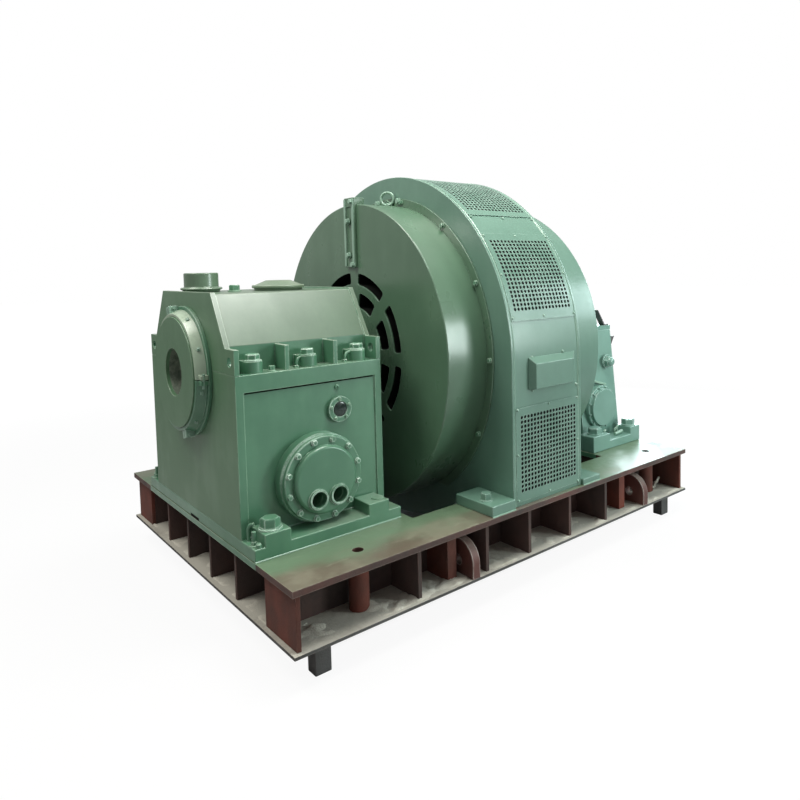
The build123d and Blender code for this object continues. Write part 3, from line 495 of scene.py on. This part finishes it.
# %% [markdown]
# The drum is a sheet-metal box, and its slots open into darkness. In the solid they are
# pockets, so a cut just behind the face marks the sheet's thickness, and all that lies
# deeper than that inside the pockets is given the near-black finish, painted shade for
# the dark inside of the drum.

# %% Dark slots in the front drum
FRONT_DRUM = -448.0


def sort_slots(bm):
    sheet = FRONT_DRUM + 9
    bmesh.ops.bisect_plane(bm, geom=bm.verts[:] + bm.edges[:] + bm.faces[:], dist=0.01,
                           plane_co=(sheet, 0, 0), plane_no=(1, 0, 0))
    for f in bm.faces:
        middle = f.calc_center_median()
        reach = math.hypot(middle.y, middle.z - SHAFT)
        if middle.x > sheet and middle.x < FRONT_DRUM + 95 and 240 < reach < 480:
            f.material_index = 1


dress("front_drum", 3, [drum_enamel, painted_shade], sort=sort_slots)
dress("stator_plate_thrust_end", 3, casing_enamel)

# %% [markdown]
# The ventilation panels are sheets with hundreds of punched holes. One hole in its square
# of sheet is made by bridging a square loop to a round one, that cell is repeated in rows
# and columns, and the edges are drawn out to the panel's border. The flat panel is then
# wrapped on the casing by turning its height into an angle.

# %% Perforated panels
def verts_in(geom):
    return [g for g in geom if isinstance(g, bmesh.types.BMVert)]


def punched_sheet(columns, rows, pitch_x, pitch_v, x_first, v_first, x_ends, v_ends, hole=9.4, depth=1.8):
    """Sheet with its holes, x being the way along the shaft and v the way round the casing."""
    bm = bmesh.new()
    place = Matrix.Translation((x_first, v_first, 0))
    bmesh.ops.create_circle(bm, cap_ends=False, segments=12, radius=hole,
                            matrix=place @ Matrix.Rotation(math.radians(15), 4, "Z"))
    half = Matrix.Diagonal((pitch_x / 2, pitch_v / 2, 1, 1))
    square_place = place @ half @ Matrix.Rotation(math.radians(45), 4, "Z")
    outer = bmesh.ops.create_circle(bm, cap_ends=False, segments=4, radius=math.sqrt(2),
                                    matrix=square_place)["verts"]
    square = list({e for v in outer for e in v.link_edges})
    bmesh.ops.subdivide_edges(bm, edges=square, cuts=2)
    bmesh.ops.bridge_loops(bm, edges=bm.edges[:])
    rim = [e for e in bm.edges if all((v.co - place.translation).length < hole * 1.01 for v in e.verts)]
    wall = bmesh.ops.extrude_edge_only(bm, edges=rim)["geom"]
    bmesh.ops.translate(bm, vec=(0, 0, -depth), verts=verts_in(wall))
    first = bm.verts[:] + bm.edges[:] + bm.faces[:]
    row = list(first)
    for column in range(1, columns):
        copy = bmesh.ops.duplicate(bm, geom=first)["geom"]
        bmesh.ops.translate(bm, vec=(column * pitch_x, 0, 0), verts=verts_in(copy))
        row += copy
    for step in range(1, rows):
        copy = bmesh.ops.duplicate(bm, geom=row)["geom"]
        bmesh.ops.translate(bm, vec=(0, step * pitch_v, 0), verts=verts_in(copy))
    bmesh.ops.remove_doubles(bm, verts=bm.verts, dist=0.05)
    last_x = x_first + (columns - 0.5) * pitch_x
    last_v = v_first + (rows - 0.5) * pitch_v
    ends = ((0, x_first - pitch_x / 2, x_ends[0]), (0, last_x, x_ends[1]),
            (1, v_first - pitch_v / 2, v_ends[0]), (1, last_v, v_ends[1]))
    for axis, edge_at, border in ends:
        line = [e for e in bm.edges
                if all(abs(v.co[axis] - edge_at) < 0.05 and v.co.z > -0.1 for v in e.verts)]
        drawn = bmesh.ops.extrude_edge_only(bm, edges=line)["geom"]
        for v in verts_in(drawn):
            v.co[axis] = border
    border = [e for e in bm.edges if e.is_boundary and all(v.co.z > -0.1 for v in e.verts)]
    lip = bmesh.ops.extrude_edge_only(bm, edges=border)["geom"]
    bmesh.ops.translate(bm, vec=(0, 0, -depth), verts=verts_in(lip))
    return bm


def wrap_on_casing(bm, radius):
    """Turn v, an arc length down from the top, into a place on the round casing."""
    for v in bm.verts:
        angle, reach = v.co.y / radius, radius + v.co.z
        v.co = Vector((v.co.x, -reach * math.sin(angle), SHAFT + reach * math.cos(angle)))


def stand_on_side(bm, side):
    """Stand a flat sheet upright on the flat flank of the casing."""
    for v in bm.verts:
        v.co = Vector((v.co.x, -side - v.co.z, v.co.y))


def both_sides(bm):
    copy = bmesh.ops.duplicate(bm, geom=bm.verts[:] + bm.edges[:] + bm.faces[:])["geom"]
    bmesh.ops.scale(bm, vec=(1, -1, 1), verts=verts_in(copy))


PANEL = 1020.6
per_degree = math.radians(1) * PANEL
panel_ends = (-157.0, 329.0)
pitch = 1.29 * per_degree
top_panel = punched_sheet(17, 18, 26.1, pitch, -118, 17.07 * per_degree, panel_ends,
                          (13.5 * per_degree, 42 * per_degree))
wrap_on_casing(top_panel, PANEL)
both_sides(top_panel)
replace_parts(finish_piece(top_panel, "top-perforated-panels", casing_enamel), "top_grilles")
upper_panel = punched_sheet(17, 18, 26.1, pitch, -118, 53.2 * per_degree, panel_ends,
                            (50 * per_degree, 78.5 * per_degree))
wrap_on_casing(upper_panel, PANEL)
both_sides(upper_panel)
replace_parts(finish_piece(upper_panel, "upper-perforated-panels", casing_enamel),
            "upper_grilles")
lower_panel = punched_sheet(18, 17, 24.2, 23.6, -115, 353, panel_ends, (298, 781))
stand_on_side(lower_panel, PANEL)
both_sides(lower_panel)
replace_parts(finish_piece(lower_panel, "lower-perforated-panels", casing_enamel),
            "lower_grilles")

# %% [markdown]
# Behind each panel the air way lies in shade. A near-black sheet just under the holes, drawn
# as a grid and wrapped in the same way, paints that shade from every side.

# %% Darkness behind the panels
def flat_sheet(rows, height, middle):
    """A plain sheet under the holes, cut into rows so that it can be wrapped."""
    sheet = bmesh.new()
    bmesh.ops.create_grid(sheet, x_segments=1, y_segments=rows, size=0.5)
    bmesh.ops.scale(sheet, vec=(450, height, 1), verts=sheet.verts)
    bmesh.ops.translate(sheet, vec=(90, middle, -1.9), verts=sheet.verts)
    return sheet


def add_sheet(bm, sheet):
    held = bpy.data.meshes.new("painted shade sheet")
    sheet.to_mesh(held)
    sheet.free()
    bm.from_mesh(held)


painted_shade_sheets = bmesh.new()
for low, high in ((16, 40.5), (52, 76.5)):
    sheet = flat_sheet(24, (high - low) * per_degree, (high + low) / 2 * per_degree)
    wrap_on_casing(sheet, PANEL)
    add_sheet(painted_shade_sheets, sheet)
sheet = flat_sheet(1, 420, 541)
stand_on_side(sheet, PANEL)
add_sheet(painted_shade_sheets, sheet)
both_sides(painted_shade_sheets)
finish_piece(painted_shade_sheets, "painted-shade-behind-panels", painted_shade)

# %% [markdown]
# Bolts, screws and washers are turned or drawn from one profile each. A hexagon head is a
# six-sided cone with straight sides whose top is inset and lifted, which gives the chamfer
# that every bought bolt has.

# %% Fasteners
def frame_at(base, axis, spin_by=0.0):
    """Matrix that stands Z along an axis at a place."""
    return (Matrix.Translation(Vector(base)) @ Vector(axis).to_track_quat("Z", "Y").to_matrix().to_4x4()
            @ Matrix.Rotation(spin_by, 4, "Z"))


def turned(bm, profile, place, steps=32):
    """Turn a profile of (height, radius) points round the local Z axis of a place."""
    verts = [bm.verts.new((radius, 0, height)) for height, radius in profile]
    edges = [bm.edges.new(pair) for pair in zip(verts, verts[1:])]
    bmesh.ops.spin(bm, geom=verts + edges, cent=(0, 0, 0), axis=(0, 0, 1), angle=2 * math.pi, steps=steps,
                   use_merge=True)
    found = set(verts)
    frontier = list(verts)
    while frontier:
        for e in frontier.pop().link_edges:
            for v in e.verts:
                if v not in found:
                    found.add(v)
                    frontier.append(v)
    bmesh.ops.transform(bm, matrix=place, verts=list(found))


def hexagon_bolt(bm, base, axis, corners, head, washer_radius, washer, spin_by=0.0):
    place = frame_at(base, axis, spin_by)
    if washer:
        turned(bm, [(0, 0), (0, washer_radius), (washer * 0.8, washer_radius),
                    (washer, washer_radius - 1.5), (washer, 0)], place, 28)
    lift = place @ Matrix.Translation((0, 0, washer + head * 0.42))
    verts = bmesh.ops.create_cone(bm, cap_ends=True, segments=6, radius1=corners / 2, radius2=corners / 2,
                                  depth=head * 0.84, matrix=lift)["verts"]
    normal = place.to_3x3() @ Vector((0, 0, 1))
    faces = {f for v in verts for f in v.link_faces}
    top = max(faces, key=lambda f: (f.calc_center_median() - Vector(base)).dot(normal))
    bmesh.ops.inset_region(bm, faces=[top], thickness=corners * 0.075, depth=head * 0.16)


def round_screw(bm, base, axis, radius=7.0, height=5.0):
    profile = [(0, 0), (0, radius), (height * 0.5, radius * 0.86), (height * 0.9, radius * 0.45),
               (height, 0)]
    turned(bm, profile, frame_at(base, axis), 10)


foot_bolts = bmesh.new()
big = (86, 42, 52, 7)
guide = (92, 38, 52, 6)
stator = (59, 32, 36, 5)
places = [(-1299, 646, 384, big), (976, 630, 380, guide), (1345, 630, 380, guide),
          (-291, 935, 329, stator), (453, 890, 309, stator)]
for side in (-1, 1):
    for turn_by, (x, y, z, size) in enumerate(places):
        hexagon_bolt(foot_bolts, (x, side * y, z), (0, 0, 1), *size, spin_by=0.4 * turn_by + side)
foot_bolts.normal_update()
for f in foot_bolts.faces:
    f.material_index = int(f.calc_center_median().x > -1000) + int(f.calc_center_median().x > 700)
bolt_finishes = [highlit_rim_enamel, casing_enamel, lit_guide_enamel]
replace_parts(finish_piece(foot_bolts, "foot-bolts-and-washers", bolt_finishes),
            "foot_bolts")

cap_bolts = bmesh.new()
for side in (-1, 1):
    for turn_by, x in enumerate((-1292.5, -1026.5, -760.5)):
        hexagon_bolt(cap_bolts, (x, side * 515, 1100), (0, 0, 1), 62, 26, 39, 6, spin_by=0.5 * turn_by)
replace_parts(finish_piece(cap_bolts, "cap-bolts-and-washers", highlit_rim_enamel),
            "thrust_cap_bolts")

# %% [markdown]
# The panels are held by small round screws, the cooler, the gauge and the covers by rings
# of small bolts. All of them repeat at even steps, so each row is a loop over its places.

# %% Screws and small bolts
panel_screws = bmesh.new()
for degrees, along in ((43.0, (-143, 90, 322)), (51.0, (-147, 85, 327)), (64.6, (-147, 327)),
                       (77.6, (-147, 85, 327))):
    for x in along:
        for side in (-1, 1):
            way = Vector((0, side * math.sin(math.radians(degrees)), math.cos(math.radians(degrees))))
            round_screw(panel_screws, Vector((x, 0, SHAFT)) + way * 1020, way, 7.5, 6)
for z in (307, 540, 772):
    for x in (-145, 90, 320):
        for side in (-1, 1):
            round_screw(panel_screws, (x, side * 1020, z), (0, side, 0), 7.5, 6)
for x, z in ((-32, 1029), (209, 1037), (-30, 858), (318, 845)):
    for side in (-1, 1):
        round_screw(panel_screws, (x, side * 1015.5, z), (0, side, 0), 9, 8)
finish_piece(panel_screws, "panel-screws", rubbed_and_highlit_enamel)


def bolt_ring(bm, centre, axis, radius, count, size, start=0.0):
    """A circle of small hexagon bolts round an axis through a centre."""
    flat = frame_at(centre, axis)
    for step in range(count):
        angle = math.radians(start + 360 * step / count)
        at = flat @ Vector((radius * math.cos(angle), radius * math.sin(angle), 0))
        hexagon_bolt(bm, at, axis, *size, spin_by=angle)


cooler_bolts = bmesh.new()
gauge_screws = bmesh.new()
cover_bolts = bmesh.new()
for side in (-1, 1):
    bolt_ring(cooler_bolts, (-1026.5, side * 640, 539), (0, side, 0), 182, 12, (27, 12, 15, 2), 15)
    bolt_ring(gauge_screws, (-897, side * 580, 832), (0, side, 0), 49, 5, (15, 7, 9, 1), 20)
    bolt_ring(cover_bolts, (1132, side * 573, 528), (0, side, 0), 136, 12, (16, 9, 0, 0), 15)
finish_piece(cooler_bolts, "cooler-bolts", highlit_rim_enamel)
finish_piece(gauge_screws, "gauge-screws", green_enamel)
finish_piece(cover_bolts, "bearing-cover-bolts", lit_guide_enamel)

flange_bolts = bmesh.new()
for step in range(14):
    degrees = 9 + 27 * step
    angle = math.radians(degrees)
    reach = Vector((0, -math.sin(angle), math.cos(angle)))
    if not 120 < degrees < 240:
        for x, radius, way in ((-191, 874, -1), (363, 892, 1)):
            at = Vector((x, 0, SHAFT)) + reach * radius
            hexagon_bolt(flange_bolts, at, (way, 0, 0), 26, 13, 15, 2, angle)
finish_piece(flange_bolts, "drum-flange-bolts", green_enamel)

# %% [markdown]
# The joint bar on the drum is held by four bolts, and its groove has raised edges in a pale
# finish that is partly rubbed wear and partly painted highlight.
# The lifting eye above it is a ring forged on a round foot, with a bolt at each side.

# %% Joint bar bolts and lifting eye
def box_shape(bm, low, high, place=None, width=2.0):
    """A plate between two corners with its edges rounded, set into a place."""
    size = Vector(high) - Vector(low)
    middle = (Vector(high) + Vector(low)) / 2
    verts = bmesh.ops.create_cube(bm, size=1.0)["verts"]
    bmesh.ops.scale(bm, vec=size, verts=verts)
    bmesh.ops.translate(bm, vec=middle, verts=verts)
    edges = list({e for v in verts for e in v.link_edges})
    made = round_edges(bm, edges, width)
    if place is not None:
        held = {v for f in made["faces"] for v in f.verts} | {v for v in verts if v.is_valid}
        bmesh.ops.transform(bm, matrix=place, verts=list(held))


def bent_bar(bm, points, radius, sides=10):
    """A round bar through points, drawn out loop by loop with mitred turns."""
    points = [Vector(p) for p in points]
    ways = [(b - a).normalized() for a, b in zip(points, points[1:])]
    ring = bmesh.ops.create_circle(bm, cap_ends=True, segments=sides, radius=radius,
                                   matrix=frame_at(points[0], ways[0]))["verts"]
    edges = list({e for v in ring for e in v.link_edges})
    for index, point in enumerate(points[1:], 1):
        drawn = bmesh.ops.extrude_edge_only(bm, edges=edges)["geom"]
        ring_on = verts_in(drawn)
        edges = [g for g in drawn
                 if isinstance(g, bmesh.types.BMEdge) and all(v in ring_on for v in g.verts)]
        before = ways[index - 1]
        after = ways[index] if index < len(ways) else before
        mitre = (before + after).normalized()
        for v in ring_on:
            v.co += before * ((point - v.co).dot(mitre) / before.dot(mitre))
    bmesh.ops.holes_fill(bm, edges=edges, sides=sides)


bar_fittings = bmesh.new()
for y, z in ((10, 1769), (6, 1575), (-36, 1520), (-30, 1880)):
    hexagon_bolt(bar_fittings, (-464, y, z), (-1, 0, 0), 30, 16, 19, 3, 0.3)
for y in (-41, 41):
    box_shape(bar_fittings, (-470, y - 9, 1512), (-462, y + 9, 1896), width=3)
finish_piece(bar_fittings, "joint-bar-bolts-and-edges", rubbed_and_highlit_enamel)

eye = bmesh.new()
around = [math.radians(20 * step) for step in range(19)]
ring = [(-216 + 22 * math.sin(a), -30 - 34 * math.sin(a), 1908 - 38 * math.cos(a)) for a in around]
bent_bar(eye, ring, 8)
turned(eye, [(0, 0), (0, 22), (8, 22), (12, 14), (32, 12), (34, 0)],
       frame_at((-191, -30, 1872), (-1, 0, 0)), 24)
for y in (-112, 104):
    hexagon_bolt(eye, (-191, y, SHAFT + math.sqrt(880 ** 2 - y ** 2)), (-1, 0, 0), 34, 16, 20, 3, 0.2)
finish_piece(eye, "drum-lifting-eye", rubbed_and_highlit_enamel)

# %% [markdown]
# The end seal is split, and clamped by small ears. Its bolts sit in the step between the
# bevelled ring and the flange. A turned sleeve lines the bore behind the end disc, because
# there the metal is bare.

# %% Seal fittings and bore sleeve
seal_fittings = bmesh.new()
for angle in (-28, -64, -104, -138, 30, 62, 104, 140):
    turn_to = math.radians(angle)
    at = (-1432, 291 * math.sin(turn_to), SHAFT + 291 * math.cos(turn_to))
    hexagon_bolt(seal_fittings, at, (-1, 0, 0), 19, 9, 12, 2, turn_to)
for angle in (14, 196):
    turn_to = math.radians(angle)
    place = Matrix.Translation((0, 0, SHAFT)) @ Matrix.Rotation(-turn_to, 4, "X")
    for offset in (-13, 13):
        box_shape(seal_fittings, (-1457, offset - 10, 276), (-1415, offset + 10, 322), place, 3)
    bent_bar(seal_fittings, [place @ Vector((-1438, -32, 310)), place @ Vector((-1438, 32, 310))], 7)
for side in (-1, 1):
    bent_bar(seal_fittings, [(-1436, side * 311, 968), (-1436, side * 311, 1036)], 7)
finish_piece(seal_fittings, "seal-bolts-and-ears", rubbed_and_highlit_enamel)

sleeve = bmesh.new()
turned(sleeve, [(0, 112), (48, 112), (52, 104), (190, 104), (204, 100.5), (204, 103), (190, 106.5),
                (52, 106.5), (50, 115.5), (0, 115.5), (0, 112)], frame_at((-1450, 0, SHAFT), (1, 0, 0)), 72)
finish_piece(sleeve, "bearing-bore-sleeve", bare_steel)

# %% [markdown]
# The cap carries jacking bolts, small hooked fittings beside its big bolts, and a plug on
# the roof. Below its flange runs a narrow groove, where a near-black strip is painted
# shadow, and a second strip paints the shade of a small recess in the foot's end face.

# %% Fittings on the thrust bearing
cap_fittings = bmesh.new()
for side in (-1, 1):
    hexagon_bolt(cap_fittings, (-1211, side * 530, 1048), (0, 0, 1), 30, 20, 20, 4, 0.3)
    for x in (-1085, -829):
        hook = [(0, 0), (0, 26), (8, 42), (22, 48), (34, 40)]
        bent_bar(cap_fittings, [(x + dx, side * 520, 1047 + dz) for dx, dz in hook], 6)
        hexagon_bolt(cap_fittings, (x - 2, side * 520, 1048), (0, 0, 1), 26, 10, 0, 0, 0.2)
    turned(cap_fittings, [(0, 0), (0, 13), (5, 13), (8, 9), (8, 5), (3, 4), (3, 0)],
           frame_at((-902, side * 560, 937), (0, side, 0)), 24)
hexagon_bolt(cap_fittings, (-1136, 36, 1392), (0, 0, 1), 54, 28, 34, 6, 0.4)
finish_piece(cap_fittings, "cap-fittings", green_enamel)

grooves = bmesh.new()
for side in (-1, 1):
    y0, y1 = sorted((side * 559.5, side * 561.5))
    box_shape(grooves, (-1354, y0, 963), (-699, y1, 970), width=0.8)
box_shape(grooves, (-1398.6, -54, 276), (-1397.5, 56, 290), width=0.4)
finish_piece(grooves, "painted-shadow-grooves", painted_shade)

# The thin pale beads along the cap's joint on the end face are painted highlight.
seams = bmesh.new()
for side in (-1, 1):
    y0, y1 = sorted((side * 318, side * 564))
    box_shape(seams, (-1388.4, y0, 1006), (-1385.0, y1, 1010), width=0.8)
finish_piece(seams, "cap-joint-beads", painted_highlight_enamel)

gauge = bmesh.new()
for side in (-1, 1):
    turned(gauge, [(0, 0), (0, 35), (4, 35), (6, 31), (7, 0)],
           frame_at((-897, side * 573.5, 832), (0, side, 0)), 36)
finish_piece(gauge, "gauge-glass", gauge_glass)

foot_fittings = bmesh.new()
for side in (-1, 1):
    hexagon_bolt(foot_fittings, (-1378, side * 655, 330), (0, 0, 1), 26, 14, 20, 4, 0.3)
    bent_bar(foot_fittings, [(-1378, side * 655, 330), (-1378, side * 655, 392)], 9)
    bent_bar(foot_fittings, [(-1374, side * 590, 330), (-1374, side * 590, 386), (-1368, side * 598, 402),
                             (-1356, side * 610, 406)], 8)
    turned(foot_fittings, [(0, 0), (0, 12), (16, 12), (20, 8), (20, 0)],
           frame_at((-1372, side * 690, 330), (0, 0, 1)), 20)
    turned(foot_fittings, [(0, 0), (0, 30), (4, 30), (5, 27), (5, 0)],
           frame_at((-752, side * 652, 384), (0, 0, 1)), 32)
finish_piece(foot_fittings, "foot-dowels-and-jacks", green_enamel)

# %% [markdown]
# The guide bearing has a cast lip over its round side cover and a few small fittings
# between its foot pads. A bent rod lies in the base beside the rear lifting lug.

# %% Fittings on the guide bearing
guide_fittings = bmesh.new()
for side in (-1, 1):
    lean = Matrix.Translation((1140, side * 528, 690)) @ Matrix.Rotation(math.radians(16.5), 4, "Y")
    box_shape(guide_fittings, (-78, -16, -8), (78, 16, 8), lean, 4)
    for x, high in ((1102, 40), (1216, 34), (1240, 46)):
        bent_bar(guide_fittings, [(x, side * 612, 331), (x, side * 612, 331 + high),
                                  (x + 14, side * 612, 339 + high)], 8)
    bent_bar(guide_fittings, [(1180, side * 640, 344), (1262, side * 640, 352)], 11)
finish_piece(guide_fittings, "guide-bearing-fittings", rubbed_and_highlit_enamel)

plugs = bmesh.new()
for side in (-1, 1):
    plug_at = Vector((1245, side * 525.9, 825))
    turned(plugs, [(0, 0), (0, 47), (6, 47), (8, 44), (8, 0)], frame_at(plug_at, (0, side, 0)), 36)
    hexagon_bolt(plugs, plug_at + Vector((0, side * 7, 0)), (0, side, 0), 80, 30, 0, 0, 0.35)
    turned(plugs, [(0, 0), (0, 32), (6, 31), (14, 24), (19, 12), (20, 0)],
           frame_at(plug_at + Vector((0, side * 36, 0)), (0, side, 0)), 32)
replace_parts(finish_piece(plugs, "guide-bearing-plugs", lit_guide_enamel), "guide_plugs")

rod = bmesh.new()
bent_bar(rod, [(1226, -905, 20), (1246, -905, 30), (1262, -905, 52), (1286, -900, 48), (1322, -890, 66)], 9)
finish_piece(rod, "bent-rod", dusty_floor)

# %% [markdown]
# Plates are joined by weld beads. A bead is a thin round bar laid into the corner, and the
# casing's two rims get one each, running over the top and down both flanks.

# %% Rim beads and weld beads
RIM = 1014.5
beads = bmesh.new()
over_top = [math.radians(4 * step) for step in range(46)]
for x in (-161, 333):
    arc = [(x, -RIM, 278), (x, -RIM, 600)]
    arc += [(x, -RIM * math.cos(a), SHAFT + RIM * math.sin(a)) for a in over_top]
    bent_bar(beads, arc + [(x, RIM, 600), (x, RIM, 278)], 5.4, 8)
# The beads take the pale finish, partly wear and partly painted highlight.
finish_piece(beads, "casing-rim-beads", rubbed_and_highlit_enamel)

welds = bmesh.new()
for side in (-1, 1):
    for x0, x1 in ((-341, -181), (353, 503)):
        bent_bar(welds, [(x0, side * 1035, 275), (x1, side * 1035, 275)], 5, 6)
    bent_bar(welds, [(-1398, side * 706, 276), (-652, side * 706, 276)], 4, 6)
    bent_bar(welds, [(-1354, side * 560, 331), (-699, side * 560, 331)], 4, 6)
finish_piece(welds, "weld-beads", rubbed_and_highlit_enamel)

# %% [markdown]
# Blown sand and dirt have gathered in the base's recesses, higher near the front corner.
# Each drift starts as a fine flat grid lying along one side of the bottom plate. Fractal
# noise lifts it, all that stays below the plate is cut away, and the rest gets a thickness.

# %% Sand drifts in the base
drifts = bmesh.new()
sides = [((0, side * 952, 0), (1370, 84), (228, 14)) for side in (-1, 1)]
sides += [((-1310, 0, 0), (74, 860), (12, 143)), ((1310, 0, 0), (74, 860), (12, 143))]
for middle, (half_x, half_y), (across, along) in sides:
    made = bmesh.ops.create_grid(drifts, x_segments=across, y_segments=along, size=1.0)["verts"]
    place = Matrix.Translation(middle) @ Matrix.Diagonal((half_x, half_y, 1, 1))
    bmesh.ops.transform(drifts, matrix=place, verts=made)
    for v in made:
        broad = rough_noise.fractal(v.co / 150, 0.9, 2.1, 4)
        fine = rough_noise.fractal(v.co / 26, 0.7, 2.0, 3)
        rise = 26 if -1250 < v.co.x < -560 and v.co.y < 0 else 15
        v.co.z = 12 + rise * broad + 2.6 * fine
        edge_x = (half_x - abs(v.co.x - middle[0])) / 12
        edge_y = (half_y - abs(v.co.y - middle[1])) / 12
        v.co.z = 6 + (v.co.z - 6) * min(1, edge_x, edge_y)
bmesh.ops.bisect_plane(drifts, geom=drifts.verts[:] + drifts.edges[:] + drifts.faces[:], dist=0.01,
                       plane_co=(0, 0, 13.4), plane_no=(0, 0, 1), clear_inner=True)
bmesh.ops.recalc_face_normals(drifts, faces=drifts.faces)
bmesh.ops.solidify(drifts, geom=drifts.faces[:], thickness=1.0)
finish_piece(drifts, "sand-drifts", dry_sand, 60)

# %% [markdown]
# The floor is pale and looks white to the camera, except close under the machine, where a
# real floor lies in the dark. Two ramps on its own coordinates mark that patch, and a third
# makes the far floor as white as the sky, so that no horizon shows.

# %% Floor
floor_bm = bmesh.new()
bmesh.ops.create_grid(floor_bm, x_segments=8, y_segments=8, size=40)
floor_mesh = bpy.data.meshes.new("studio_floor")
floor_bm.to_mesh(floor_mesh)
floor_bm.free()
floor = bpy.data.objects.new("studio_floor", floor_mesh)
bpy.context.scene.collection.objects.link(floor)
pale, tree, shader = new_material("pale_floor")
shader.inputs["Base Color"].default_value = (0.36, 0.36, 0.36, 1)
shader.inputs["Roughness"].default_value = 0.9
glow = node(tree, "ShaderNodeEmission")
path = node(tree, "ShaderNodeLightPath")
split = node(tree, "ShaderNodeSeparateXYZ")
floor_place = node(tree, "ShaderNodeTexCoord").outputs["Object"]
tree.links.new(floor_place, split.inputs[0])
clear_x = ramp(tree, math_node(tree, "ABSOLUTE", split.outputs["X"], 0.0), 1.00, 1.25)
clear_y = ramp(tree, math_node(tree, "ABSOLUTE", split.outputs["Y"], 0.0), 0.66, 0.86)
clear = math_node(tree, "MAXIMUM", clear_x, clear_y)
seen = math_node(tree, "MULTIPLY", path.outputs["Is Camera Ray"], clear)
reach = node(tree, "ShaderNodeVectorMath", {"operation": "LENGTH"})
tree.links.new(floor_place, reach.inputs[0])
tree.links.new(ramp(tree, reach.outputs["Value"], 3.0, 9.0, 1.08, 1.18), glow.inputs["Strength"])
blend = node(tree, "ShaderNodeMixShader")
tree.links.new(math_node(tree, "MULTIPLY", seen, 0.86), blend.inputs[0])
tree.links.new(shader.outputs[0], blend.inputs[1])
tree.links.new(glow.outputs[0], blend.inputs[2])
tree.links.new(blend.outputs[0], tree.nodes["Material Output"].inputs["Surface"])
floor.data.materials.append(pale)
print("floor", floor.dimensions.x)

# %% [markdown]
# The light is that of a works hall: daylight from a roof light over the bearing, a cool
# window in front on the right that gives the painted edges and the drum their shine, two
# more cool windows at the right and behind, and a warm light high on the left. A dim white
# world fills the shadows, and is brighter for the camera and, in part, for reflections.

# %% World and lamps
world = bpy.data.worlds.new("white_world")
bpy.context.scene.world = world
world.use_nodes = True
tree = world.node_tree
sky = tree.nodes["Background"]
sky.inputs["Color"].default_value = (1, 1, 1, 1)
path = node(tree, "ShaderNodeLightPath")
for_camera = math_node(tree, "MULTIPLY", path.outputs["Is Camera Ray"], 0.68)
for_gloss = math_node(tree, "MULTIPLY", path.outputs["Is Glossy Ray"], 0.20)
level_of = math_node(tree, "ADD", math_node(tree, "ADD", for_camera, for_gloss), 0.32)
tree.links.new(level_of, sky.inputs["Strength"])


def lamp(name, at, aim, size, power, colour):
    data = bpy.data.lights.new(name, "AREA")
    data.shape = "RECTANGLE"
    data.size, data.size_y = size
    data.energy = power
    data.color = colour
    made = bpy.data.objects.new(name, data)
    made.visible_camera = False
    bpy.context.scene.collection.objects.link(made)
    way = Vector(aim) - Vector(at)
    made.matrix_world = Matrix.Translation(at) @ way.to_track_quat("-Z", "Y").to_matrix().to_4x4()


lamp("roof_light", (-0.1, -1.5, 4.6), (-0.5, -0.3, 1.0), (1.8, 1.5), 162, (1.0, 0.99, 0.96))
lamp("front_window", (2.75, -4.9, 1.9), (-0.1, -0.9, 1.1), (1.2, 1.8), 124, (0.86, 0.99, 0.97))
lamp("right_window", (4.3, -3.0, 2.8), (1.1, -0.7, 0.8), (1.6, 1.6), 75, (0.80, 0.98, 1.0))
lamp("back_window", (4.5, 1.5, 1.8), (0.7, -0.7, 0.5), (2.6, 2.0), 160, (0.78, 0.98, 1.0))
lamp("left_light", (-3.0, 0.6, 5.0), (-0.4, 0, 1.2), (2.0, 2.0), 160, (1.0, 0.98, 0.92))
bpy.context.scene.view_settings.view_transform = "Standard"
print("lamps", len(bpy.data.lights))

# %% [markdown]
